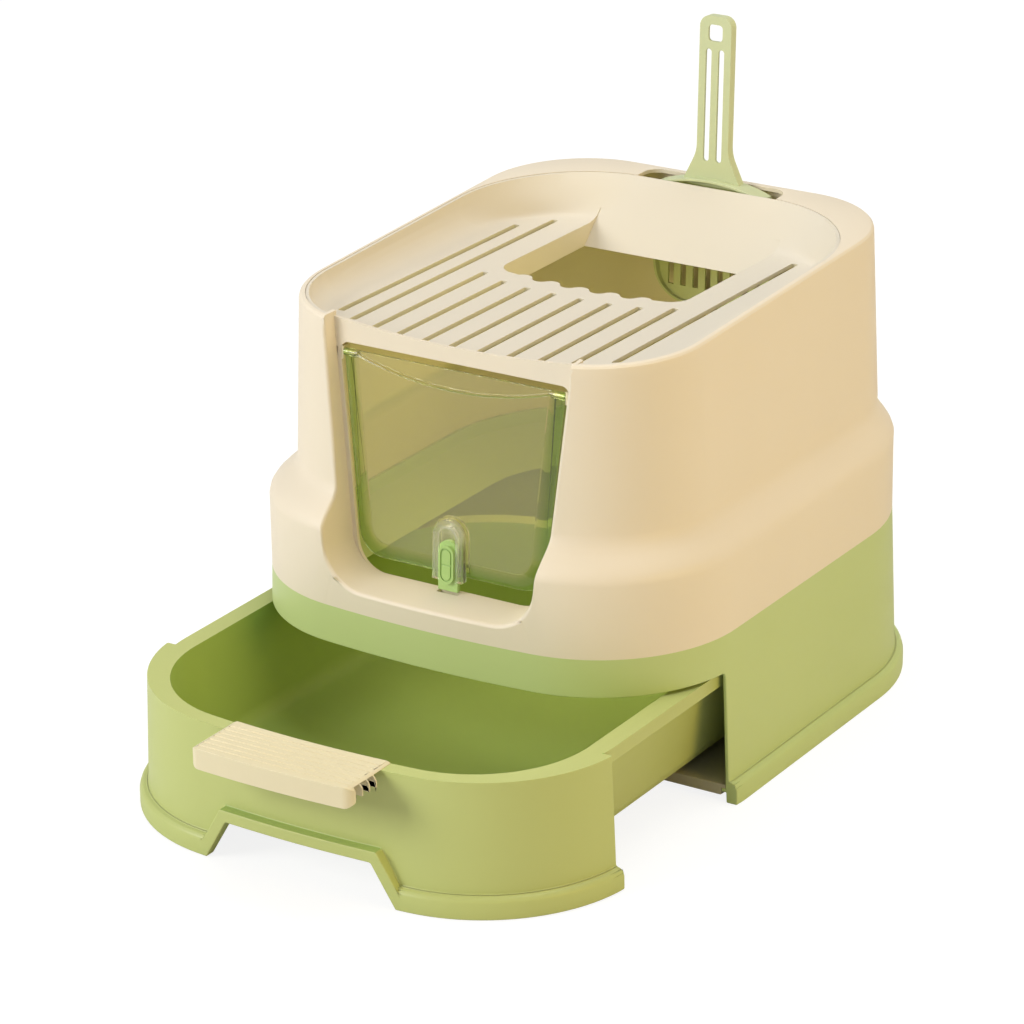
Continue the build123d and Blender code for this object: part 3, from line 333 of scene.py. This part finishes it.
@dataclass(frozen=True)
class ClearPlastic:
    """Clear polished plastic with a slight tint, a painted green reflection on its border and faint
    waves.
    """

    name: str
    tone: tuple[float, float, float, float]
    border_reflection_tone: tuple[float, float, float, float]
    roughness: float = 0.03
    shadow: float = 0.1
    ior: float = 1.46
    shade: float = 0.97
    drift: float = 0.4
    pits: float = 90.0
    peel: float = 25.0
    relief: float = 0.00001
    transmission: float = 0.92

    def material(self, groups: Groups) -> bpy.types.Material:
        """Build the material.

        Args:
            groups: The shared node groups.

        Returns:
            The material.
        """
        made = bpy.data.materials.new(self.name)
        made.use_nodes = True
        tree = made.node_tree
        shader = tree.nodes["Principled BSDF"]
        tones = {"Tone": self.tone, "Shade": tuple(self.shade * c for c in self.tone[:3]) + (1.0,)}
        mottle = group_node(tree, groups.mottle, **tones, Drift=self.drift, Specks=0.0)
        # painted reflection: the border mixes in a green tone for the green parts reflected in the
        # slanted border
        border = tree.nodes.new("ShaderNodeAttribute")
        border.attribute_name = "border"
        tint = tree.nodes.new("ShaderNodeMix")
        tint.data_type = "RGBA"
        tree.links.new(border.outputs["Fac"], tint.inputs[MIX_SHARE])
        tree.links.new(mottle.outputs["Colour"], tint.inputs[MIX_FIRST])
        tint.inputs[MIX_SECOND].default_value = self.border_reflection_tone
        tree.links.new(tint.outputs[MIX_RESULT], shader.inputs["Base Color"])
        grain = group_node(tree, groups.grain, Pits=self.pits, Peel=self.peel)
        spread = tree.nodes.new("ShaderNodeMapRange")
        spread.inputs["To Min"].default_value = 0.5 * self.roughness
        spread.inputs["To Max"].default_value = 1.5 * self.roughness
        tree.links.new(grain.outputs["Sheen"], spread.inputs["Value"])
        tree.links.new(spread.outputs["Result"], shader.inputs["Roughness"])
        bump = tree.nodes.new("ShaderNodeBump")
        bump.inputs["Strength"].default_value = 1.0
        bump.inputs["Distance"].default_value = self.relief
        tree.links.new(grain.outputs["Height"], bump.inputs["Height"])
        tree.links.new(bump.outputs["Normal"], shader.inputs["Normal"])
        shader.inputs["Transmission Weight"].default_value = self.transmission
        shader.inputs["IOR"].default_value = self.ior
        path = tree.nodes.new("ShaderNodeLightPath")
        pass_on = tree.nodes.new("ShaderNodeMapRange")
        pass_on.inputs["To Min"].default_value = 1.0
        pass_on.inputs["To Max"].default_value = self.shadow
        tree.links.new(path.outputs["Is Shadow Ray"], pass_on.inputs["Value"])
        tree.links.new(pass_on.outputs["Result"], shader.inputs["Alpha"])
        return made


def group_node(
    tree: bpy.types.NodeTree, group: bpy.types.NodeTree, **values: object
) -> bpy.types.Node:
    """Place a node group in a material.

    Args:
        tree: The material's nodes.
        group: The group.
        values: Values of its inputs.

    Returns:
        The node.
    """
    node = tree.nodes.new("ShaderNodeGroup")
    node.node_tree = group
    for key, value in values.items():
        node.inputs[key].default_value = value
    return node


@dataclass
class Finishes:
    """Every finish of the object, built once."""

    groups: Groups
    cover: bpy.types.Material = field(init=False)
    # deck: the cover's cream painted a shade darker: painted shade
    deck: bpy.types.Material = field(init=False)
    trim: bpy.types.Material = field(init=False)
    housing: bpy.types.Material = field(init=False)
    drawer: bpy.types.Material = field(init=False)
    # tray: glossier inside of the tray; its darker, greener colour is painted shade
    tray: bpy.types.Material = field(init=False)
    # floor: the floor plate's cream darkened to grey: painted shade
    floor: bpy.types.Material = field(init=False)
    clear: bpy.types.Material = field(init=False)
    frame: bpy.types.Material = field(init=False)
    latch: bpy.types.Material = field(init=False)
    scoop: bpy.types.Material = field(init=False)

    def __post_init__(self) -> None:
        """Build the materials."""
        finishes = {
            "cover": MouldedPlastic(
                "cream_satin", srgb(229, 218, 197), srgb(223, 211, 189), roughness=0.48
            ),
            # the cover's cream painted a shade darker on the deck: painted shade for the light its
            # upward faces lack
            "deck": MouldedPlastic(
                "cream_deck_shaded_satin", srgb(219, 211, 194), srgb(213, 205, 187), roughness=0.5
            ),
            "trim": MouldedPlastic(
                "cream_trim_satin", srgb(222, 212, 178), srgb(216, 205, 169), roughness=0.45
            ),
            "housing": MouldedPlastic(
                "green_satin", srgb(188, 204, 137), srgb(182, 198, 130), roughness=0.46
            ),
            "drawer": MouldedPlastic(
                "green_drawer_satin", srgb(184, 193, 120), srgb(178, 187, 113), roughness=0.44
            ),
            # inside of the tray: glossier, and its darker, greener colour is painted shade with the
            # green cast of the light inside it
            "tray": MouldedPlastic(
                "green_tray_gloss_painted_shade",
                srgb(158, 182, 98),
                srgb(150, 174, 91),
                roughness=0.36,
                dust=0.02,
            ),
            # floor plate: a cream darkened to grey, painted shade of its place under the tray
            "floor": MouldedPlastic(
                "shaded_cream_satin", srgb(176, 170, 150), srgb(168, 162, 142), roughness=0.5
            ),
            "latch": MouldedPlastic(
                "green_gloss",
                srgb(172, 204, 124),
                srgb(166, 198, 118),
                roughness=0.28,
                relief=0.00001,
            ),
            "scoop": MouldedPlastic(
                "green_scoop_satin", srgb(201, 209, 166), srgb(195, 203, 158), roughness=0.4
            ),
            # second tone: a painted green reflection on the flap's border
            "clear": ClearPlastic("clear_tinted", srgb(240, 236, 188), srgb(190, 212, 132)),
            "frame": ClearPlastic(
                "clear_frame", srgb(246, 246, 236), srgb(246, 246, 236), ior=1.5
            ),
        }
        for key, finish in finishes.items():
            setattr(self, key, finish.material(self.groups))


# ------------------------------------------------------------------ mesh tools
def node_arrays(node: str) -> tuple[np.ndarray, np.ndarray]:
    """Read a CAD node's mesh with its loose triangles joined at shared points.

    Args:
        node: Name of the node.

    Returns:
        Points, and triangles as rows of three indices.
    """
    mesh = frame["nodes"][node].data
    points = np.empty(len(mesh.vertices) * 3, np.float32)
    mesh.vertices.foreach_get("co", points)
    mesh.calc_loop_triangles()
    corners = np.empty(len(mesh.loop_triangles) * 3, np.int32)
    mesh.loop_triangles.foreach_get("vertices", corners)
    keys = np.round(points.reshape(-1, 3).astype(float) / MERGE_STEP).astype(np.int64)
    _, first, same = np.unique(keys, axis=0, return_index=True, return_inverse=True)
    faces = same.reshape(-1)[corners].reshape(-1, 3)
    one, two, three = faces.T
    kept = (one != two) & (two != three) & (three != one)
    return points.reshape(-1, 3)[first], faces[kept]


def ring_faces(shape: bmesh.types.BMesh, tolerance: float) -> set[int]:
    """Find the faces of flat areas that have a hole, which can't become one face.

    Faces joined by edges with next to no fold form an area. In an area without a hole, corners
    less edges plus faces make one.

    Args:
        shape: The mesh.
        tolerance: Largest fold between faces of one area, in radians.

    Returns:
        Indices of the faces.
    """
    shape.faces.ensure_lookup_table()
    shape.faces.index_update()
    found: set[int] = set()
    seen: set[int] = set()
    for start in shape.faces:
        if start.index in seen:
            continue
        area, front = {start.index}, [start]
        while front:
            face = front.pop()
            for edge in face.edges:
                if len(edge.link_faces) == 2 and edge.calc_face_angle() < tolerance:
                    for other in edge.link_faces:
                        if other.index not in area:
                            area.add(other.index)
                            front.append(other)
        seen |= area
        faces = [shape.faces[index] for index in area]
        corners = {vert for face in faces for vert in face.verts}
        edges = {edge for face in faces for edge in face.edges}
        if len(corners) - len(edges) + len(faces) != 1:
            found |= area
    return found


def edge_weight(middle: Vector, first: Vector, second: Vector) -> float:
    """Share of the full edge radius that an edge gets: the whole of it.

    Args:
        middle: Middle of the edge.
        first: Normal of its first face.
        second: Normal of its second face.

    Returns:
        A share from 0 to 1.
    """
    return 1.0


def moulded_copy(
    name: str,
    node: str,
    radius: float,
    weight: Callable[[Vector, Vector, Vector], float] = edge_weight,
    sharp: float = 28.0,
    flat: float = 0.8,
    crease: float | None = None,
    beside_holes: bool = False,
    reshape: Callable[[np.ndarray], np.ndarray] | None = None,
) -> bpy.types.Object:
    """Stand-in for a CAD node with its edges rounded as a mould leaves them.

    Args:
        name: Name of the piece.
        node: The node that it stands for.
        radius: Full width of the rounding, in metres.
        weight: Share of the radius that an edge gets.
        sharp: Angle between faces, in degrees, from which an edge is rounded.
        flat: Angle, in degrees, up to which faces are joined into one.
        crease: Angle, in degrees, from which an edge is shaded sharp. None takes the rounding's.
        beside_holes: Whether edges of flat areas that have a hole are rounded too.
        reshape: Moves the points first.

    Returns:
        The piece.
    """
    points, faces = node_arrays(node)
    if reshape:
        points = reshape(points)
    mesh = bpy.data.meshes.new(name)
    mesh.from_pydata(points.tolist(), [], faces.tolist())
    shape = bmesh.new()
    shape.from_mesh(mesh)
    rings = ring_faces(shape, math.radians(flat))
    held = shape.faces.layers.int.new("held")
    for face in shape.faces:
        face[held] = int(face.index in rings)
    if flat:
        loose = [
            edge for edge in shape.edges if not any(face[held] for face in edge.link_faces)
        ]
        bmesh.ops.dissolve_limit(shape, angle_limit=math.radians(flat), verts=[], edges=loose)
        wide = [face for face in shape.faces if len(face.verts) > 4]
        bmesh.ops.triangulate(shape, faces=wide, quad_method="BEAUTY", ngon_method="BEAUTY")
    layer = shape.edges.layers.float.new("bevel_weight_edge")
    for edge in shape.edges:
        if len(edge.link_faces) == 2 and edge.calc_face_angle() > math.radians(sharp):
            one, two = edge.link_faces
            if (one[held] or two[held]) and not beside_holes:
                continue
            middle = (edge.verts[0].co + edge.verts[1].co) / 2
            edge[layer] = weight(middle, one.normal, two.normal)
    shape.faces.layers.int.remove(held)
    shape.to_mesh(mesh)
    shape.free()
    mesh.shade_smooth()
    piece = bpy.data.objects.new(name, mesh)
    bpy.context.scene.collection.objects.link(piece)
    if radius:
        bevel = piece.modifiers.new("edges", "BEVEL")
        bevel.limit_method = "WEIGHT"
        bevel.width = radius
        bevel.segments = 3
        bevel.use_clamp_overlap = False
        bevel.miter_outer = "MITER_ARC"
        bevel.harden_normals = True
    mesh.set_sharp_from_angle(angle=math.radians(sharp if crease is None else crease))
    if not radius:
        weighted = piece.modifiers.new("normals", "WEIGHTED_NORMAL")
        weighted.keep_sharp = True
    return piece


def dress(
    piece: bpy.types.Object, material: bpy.types.Material, slot: Slot, body: str, *nodes: str
) -> bpy.types.Object:
    """Give a piece its finish and the body that it rides on.

    Args:
        piece: The piece.
        material: Its finish.
        slot: The record's material slot; not used.
        body: The body that it rides on.
        nodes: CAD nodes that it stands for.

    Returns:
        The piece.
    """
    piece.data.materials.clear()
    piece.data.materials.append(material)
    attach(piece, body)
    if nodes:
        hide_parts(*nodes)
    LOG.info("%s rides on %s", piece.name, body)
    return piece


# ------------------------------------------------------------------ sub-assemblies
@dataclass
class Base:
    """Base housing, its floor plate and the litter guide."""

    edge: float = 0.9 * MM
    plate_edge: float = 0.5 * MM

    def build(self, finishes: Finishes) -> None:
        """Build and dress the pieces.

        Args:
            finishes: The object's finishes.
        """
        housing = moulded_copy("housing", "base_housing", self.edge)
        dress(housing, finishes.housing, Slot.HOUSING, "base", "base_housing")
        # the plate's grey is painted shade on a cream moulding
        plate = moulded_copy("floor_plate", "base_floor", self.plate_edge)
        dress(plate, finishes.floor, Slot.FLOOR, "base", "base_floor")
        guide = moulded_copy("guide", "litter_guide", self.plate_edge)
        dress(guide, finishes.housing, Slot.HOUSING, "base", "litter_guide")


@dataclass
class Drawer:
    """Litter tray with its handle."""

    edge: float = 1.1 * MM
    pull_edge: float = 0.45 * MM
    rim: float = 0.1035
    floor: float = 0.019
    upward: float = 0.7
    inward: float = 0.35
    overhang: float = -0.02

    def paint_inside_shade(self, tray: bpy.types.Object, finish: bpy.types.Material) -> None:
        """Give the tray's inside its glossier finish, whose darker, greener colour is painted
        shade.

        The inside is the faces between floor and rim that look up or to the tray's middle, by the
        upright part of their normal or its part along the level way to the middle.

        Args:
            tray: The tray.
            finish: The glossier finish with the painted shade.
        """
        points, _ = node_arrays("drawer_tray")
        middle = (points.min(axis=0) + points.max(axis=0)) / 2
        tray.data.materials.append(finish)
        for face in tray.data.polygons:
            level = (Vector(middle.tolist()) - face.center) * Vector((1.0, 1.0, 0.0))
            looks_up = face.normal.z > self.upward
            looks_in = looks_up or face.normal.dot(level.normalized()) > self.inward
            in_tray = self.floor < face.center.z < self.rim
            # painted shade: these inside faces take the darker, greener tray colour
            if in_tray and face.normal.z > self.overhang and looks_in:
                face.material_index = 1

    def build(self, finishes: Finishes) -> None:
        """Build and dress the pieces.

        Args:
            finishes: The object's finishes.
        """
        tray = moulded_copy("tray", "drawer_tray", self.edge)
        dress(tray, finishes.drawer, Slot.DRAWER, "drawer", "drawer_tray")
        self.paint_inside_shade(tray, finishes.tray)
        pull = moulded_copy("pull", "drawer_handle", self.pull_edge)
        dress(pull, finishes.trim, Slot.TRIM, "drawer", "drawer_handle")


@dataclass
class Cover:
    """Cover shell, top deck and the clips that carry the flap."""

    edge: float = 3.0 * MM
    clip_edge: float = 0.3 * MM
    bay_half: float = 0.125
    bay_front: float = -0.105
    bay_heights: tuple[float, float] = (0.14, 0.355)
    looks_front: float = -0.5
    looks_back: float = 0.35
    fold_start: float = 28.0
    fold_span: float = 30.0
    least_share: float = 0.02

    def bay_edge(self, middle: Vector, first: Vector, second: Vector) -> float:
        """Share of the edge radius: none away from the door bay, and round it more with the fold.

        The share rises evenly from the angle where edges start to be rounded to all of the radius.

        Args:
            middle: Middle of the edge.
            first: Normal of its first face.
            second: Normal of its second face.

        Returns:
            A share from 0 to 1.
        """
        foot, head = self.bay_heights
        bay = abs(middle.x) < self.bay_half and middle.y < self.bay_front
        if not (bay and foot < middle.z < head):
            return 0.0
        if max(first.y, second.y) >= self.looks_back or min(first.y, second.y) >= self.looks_front:
            return 0.0
        turn = math.degrees(first.angle(second))
        return min(max((turn - self.fold_start) / self.fold_span, self.least_share), 1.0)

    def build(self, finishes: Finishes) -> None:
        """Build and dress the pieces.

        Args:
            finishes: The object's finishes.
        """
        shell = moulded_copy(
            "shell", "cover_shell", self.edge, self.bay_edge, flat=1.2, beside_holes=True
        )
        dress(shell, finishes.cover, Slot.COVER, "cover", "cover_shell")
        # the deck's darker cream is painted shade
        deck = moulded_copy("deck", "top_deck", 0.0, sharp=50.0, flat=0.0)
        dress(deck, finishes.deck, Slot.DECK, "cover", "top_deck")
        for side in ("left", "right"):
            node = "hinge_clip_" + side
            clip = moulded_copy("clip_" + side, node, self.clip_edge)
            dress(clip, finishes.trim, Slot.TRIM, "cover", node)


@dataclass
class Flap:
    """Clear door flap with its latch.

    The sheet is laid out in its own plane, up and out from the middle of the sill, in millimetres.
    """

    edge: float = 0.3 * MM
    sill: tuple[float, float] = (-104.3, 157.5)
    lean: float = 3.0
    planes: tuple[float, float] = (-0.4, -2.6)
    panel_foot: float = 24.0
    panel_half: float = 69.5
    panel_flare: float = 0.1
    panel_round: float = 16.0
    panel_raise: float = 2.5
    panel_taper: float = 30.0
    panel_top: float = 172.0
    chamfer: float = 8.5
    depth_slack: float = 0.06
    step_slack: float = 0.45
    border_lead: float = 1.0
    border_fade: float = 6.0

    def layout(self, points: np.ndarray) -> dict[str, np.ndarray]:
        """Read points in the sheet's own plane.

        Args:
            points: Points in metres.

        Returns:
            Height above the sill, depth out of the door plane, the way sideways and down past the
            centre of the panel's round corners, how far past it the point lies, and the plane's
            upward direction.
        """
        lean = math.radians(self.lean)
        up = np.array([0.0, math.sin(lean), math.cos(lean)])
        out = np.array([0.0, -math.cos(lean), math.sin(lean)])
        place = points.astype(float) / MM - np.array([0.0, *self.sill])
        high, deep, wide = place @ up, place @ out, np.abs(place[:, 0])
        centre_up = self.panel_foot + self.panel_round
        centre_out = self.panel_half + self.panel_flare * centre_up - self.panel_round
        flare = np.maximum(high - centre_up, 0.0) * self.panel_flare
        side = np.maximum(wide - centre_out - flare, 0.0)
        foot = np.maximum(centre_up - high, 0.0)
        reach = np.maximum(np.hypot(side, foot), 1e-6)
        side = side * np.sign(place[:, 0])
        return {"high": high, "deep": deep, "side": side, "foot": foot, "reach": reach, "up": up}

    def spread(self, points: np.ndarray) -> np.ndarray:
        """Widen the slanted step round the raised panel into a broad chamfer.

        Points on the step move away from the panel by the chamfer's width times how far below the
        panel's face they lie, from none at the face to all of it at the sheet: sideways along its
        sides, down along its foot, and out from the corner's centre at its round corners.

        Args:
            points: The sheet's points, in metres.

        Returns:
            The moved points.
        """
        place = self.layout(points)
        share = np.zeros(len(points))
        slope = math.tan(math.radians(self.panel_taper))
        for plane in self.planes:
            rise = place["deep"] - plane
            low, high = -self.depth_slack, self.panel_raise - self.depth_slack
            off_step = np.abs(place["reach"] + slope * rise - self.panel_round)
            on_step = (rise > low) & (rise < high) & (off_step < self.step_slack)
            on_step &= place["high"] < self.panel_top
            share = np.where(on_step, np.maximum(share, 1.0 - rise / self.panel_raise), share)
        step = self.chamfer * MM * share / place["reach"]
        across = (step * place["side"])[:, None] * np.array([1.0, 0.0, 0.0])
        down = (step * place["foot"])[:, None] * place["up"]
        return points + (across - down).astype(points.dtype)

    def mark_border(self, sheet: bpy.types.Object) -> None:
        """Mark the border beside the panel, from 0 on the panel to 1 at the sheet's edge: it takes
        a painted reflection.

        Args:
            sheet: The flap's sheet.
        """
        mesh = sheet.data
        points = np.empty(len(mesh.vertices) * 3, np.float32)
        mesh.vertices.foreach_get("co", points)
        place = self.layout(points.reshape(-1, 3))
        past = place["reach"] - self.panel_round + self.border_lead
        border = np.clip(past / self.border_fade, 0.0, 1.0).astype(np.float32)
        mesh.attributes.new("border", "FLOAT", "POINT").data.foreach_set("value", border)

    def build(self, finishes: Finishes) -> None:
        """Build and dress the pieces.

        Args:
            finishes: The object's finishes.
        """
        sheet = moulded_copy(
            "flap_sheet", "door_flap", self.edge, sharp=25.0, crease=9.0, reshape=self.spread
        )
        self.mark_border(sheet)
        dress(sheet, finishes.clear, Slot.FLAP, "flap", "door_flap")
        frame_piece = moulded_copy("latch_frame", "latch_housing", 0.0, flat=0.0)
        dress(frame_piece, finishes.frame, Slot.FLAP, "flap", "latch_housing")
        slide = moulded_copy("latch_slide", "latch_slider", self.edge)
        dress(slide, finishes.latch, Slot.LATCH, "latch", "latch_slider")


@dataclass
class Scoop:
    """Litter scoop that hangs in its slot."""

    edge: float = 0.5 * MM

    def build(self, finishes: Finishes) -> None:
        """Build and dress the piece.

        Args:
            finishes: The object's finishes.
        """
        scoop = moulded_copy("scoop_body", "scoop", self.edge)
        dress(scoop, finishes.scoop, Slot.SCOOP, "scoop", "scoop")


# ------------------------------------------------------------------ studio
@dataclass(frozen=True)
class AreaLamp:
    """Square area lamp: place and side in metres, power in watts."""

    name: str
    place: tuple[float, float, float]
    side: float
    power: float
    colour: tuple[float, float, float]

    def build(self, target: Vector) -> None:
        """Build the lamp.

        Args:
            target: Point that it looks at.
        """
        data = bpy.data.lights.new(self.name, "AREA")
        data.shape = "SQUARE"
        data.size = self.side
        data.energy = self.power
        data.color = self.colour
        lamp = bpy.data.objects.new(self.name, data)
        lamp.location = self.place
        aim = target - Vector(self.place)
        lamp.rotation_euler = aim.to_track_quat("-Z", "Y").to_euler()
        bpy.context.scene.collection.objects.link(lamp)


@dataclass
class Studio:
    """Camera, lamps, floor and world."""

    eye: tuple[float, float, float] = (1.6770, -2.6091, 1.4354)
    azimuth: float = 32.91
    elevation: float = 21.95
    roll: float = -0.94
    lens: float = 151.87
    target: tuple[float, float, float] = (0.0, 0.0, 0.2)
    lamps: tuple[AreaLamp, ...] = (
        AreaLamp("key", (-2.9, -3.8, 2.4), 2.4, 192.0, (1.0, 0.98, 0.94)),
        AreaLamp("fill_right", (3.6, -0.3, 1.2), 1.8, 52.0, (1.0, 0.68, 0.14)),
        AreaLamp("top", (0.3, 0.8, 3.8), 2.6, 80.0, (1.0, 0.99, 0.98)),
    )
    glow_place: tuple[float, float, float] = (0.0, 0.1, 0.22)
    glow_power: float = 0.32
    floor_reach: float = 14.0
    floor_white: float = 0.86
    world_light: float = 0.32

    def build(self) -> None:
        """Build the camera, the lamps, the floor and the world."""
        self.camera()
        for lamp in self.lamps:
            lamp.build(Vector(self.target))
        self.glow()
        self.floor()
        self.world()

    def camera(self) -> None:
        """Camera: its axes come from an azimuth about Z, an elevation and a roll about the view."""
        turns = (self.azimuth, self.elevation, self.roll)
        azimuth, elevation, roll = (math.radians(turn) for turn in turns)
        right = Vector((math.cos(azimuth), math.sin(azimuth), 0.0))
        level = math.cos(elevation)
        back = Vector((math.sin(azimuth) * level, -math.cos(azimuth) * level, math.sin(elevation)))
        up = back.cross(right)
        x_axis = math.cos(roll) * right + math.sin(roll) * up
        y_axis = math.cos(roll) * up - math.sin(roll) * right
        data = bpy.data.cameras.new("camera")
        data.lens = self.lens
        data.sensor_width = 36.0
        data.sensor_fit = "HORIZONTAL"
        data.clip_end = 50.0
        camera = bpy.data.objects.new("camera", data)
        axes = Matrix((x_axis, y_axis, back)).transposed().to_4x4()
        camera.matrix_world = Matrix.Translation(self.eye) @ axes
        bpy.context.scene.collection.objects.link(camera)
        bpy.context.scene.camera = camera

    def glow(self) -> None:
        """Weak warm light in the cabin: what its thin walls let through."""
        data = bpy.data.lights.new("cabin_glow", "POINT")
        data.energy = self.glow_power
        data.color = (1.0, 0.82, 0.25)
        data.shadow_soft_size = 0.06
        lamp = bpy.data.objects.new("cabin_glow", data)
        lamp.location = self.glow_place
        lamp.visible_camera = False
        lamp.visible_glossy = False
        lamp.visible_transmission = False
        bpy.context.scene.collection.objects.link(lamp)

    def floor(self) -> None:
        """Studio floor: pale paper to the light, near white where the camera sees it unshaded."""
        mesh = bpy.data.meshes.new("studio_floor")
        far = self.floor_reach
        corners = [(-far, -far, 0), (far, -far, 0), (far, far, 0), (-far, far, 0)]
        mesh.from_pydata(corners, [], [(0, 1, 2, 3)])
        plane = bpy.data.objects.new("studio_floor", mesh)
        bpy.context.scene.collection.objects.link(plane)
        made = bpy.data.materials.new("paper")
        made.use_nodes = True
        tree = made.node_tree
        shader = tree.nodes["Principled BSDF"]
        path = tree.nodes.new("ShaderNodeLightPath")
        seen = tree.nodes.new("ShaderNodeMath")
        seen.operation = "MAXIMUM"
        tree.links.new(path.outputs["Is Camera Ray"], seen.inputs[0])
        tree.links.new(path.outputs["Is Transmission Ray"], seen.inputs[1])
        tone = tree.nodes.new("ShaderNodeMix")
        tone.data_type = "RGBA"
        tone.inputs[MIX_FIRST].default_value = (0.75, 0.75, 0.75, 1.0)
        tone.inputs[MIX_SECOND].default_value = (0.2, 0.2, 0.2, 1.0)
        tree.links.new(seen.outputs[0], tone.inputs[MIX_SHARE])
        tree.links.new(tone.outputs[MIX_RESULT], shader.inputs["Base Color"])
        shader.inputs["Roughness"].default_value = 1.0
        shader.inputs["Specular IOR Level"].default_value = 0.0
        shader.inputs["Emission Color"].default_value = (1.0, 1.0, 1.0, 1.0)
        lift = tree.nodes.new("ShaderNodeMath")
        lift.operation = "MULTIPLY"
        lift.inputs[1].default_value = self.floor_white
        tree.links.new(seen.outputs[0], lift.inputs[0])
        tree.links.new(lift.outputs[0], shader.inputs["Emission Strength"])
        mesh.materials.append(made)

    def world(self) -> None:
        """World: white to the camera and through clear plastic, a plain soft light elsewhere."""
        world = bpy.data.worlds.new("studio_world")
        bpy.context.scene.world = world
        world.use_nodes = True
        tree = world.node_tree
        ground = tree.nodes["Background"]
        path = tree.nodes.new("ShaderNodeLightPath")
        seen = tree.nodes.new("ShaderNodeMath")
        seen.operation = "MAXIMUM"
        tree.links.new(path.outputs["Is Camera Ray"], seen.inputs[0])
        tree.links.new(path.outputs["Is Transmission Ray"], seen.inputs[1])
        level = tree.nodes.new("ShaderNodeMapRange")
        level.inputs["To Min"].default_value = self.world_light
        level.inputs["To Max"].default_value = 1.0
        tree.links.new(seen.outputs[0], level.inputs["Value"])
        tree.links.new(level.outputs["Result"], ground.inputs["Strength"])
        ground.inputs["Color"].default_value = (1.0, 1.0, 1.0, 1.0)
        view = bpy.context.scene.view_settings
        view.view_transform = "Standard"


def main() -> None:
    """Build every sub-assembly and the studio."""
    logging.basicConfig(level=logging.INFO, format="%(name)s: %(message)s")
    finishes = Finishes(Groups())
    for assembly in (Base(), Drawer(), Cover(), Flap(), Scoop()):
        assembly.build(finishes)
    Studio().build()


if __name__ == "__main__":
    main()
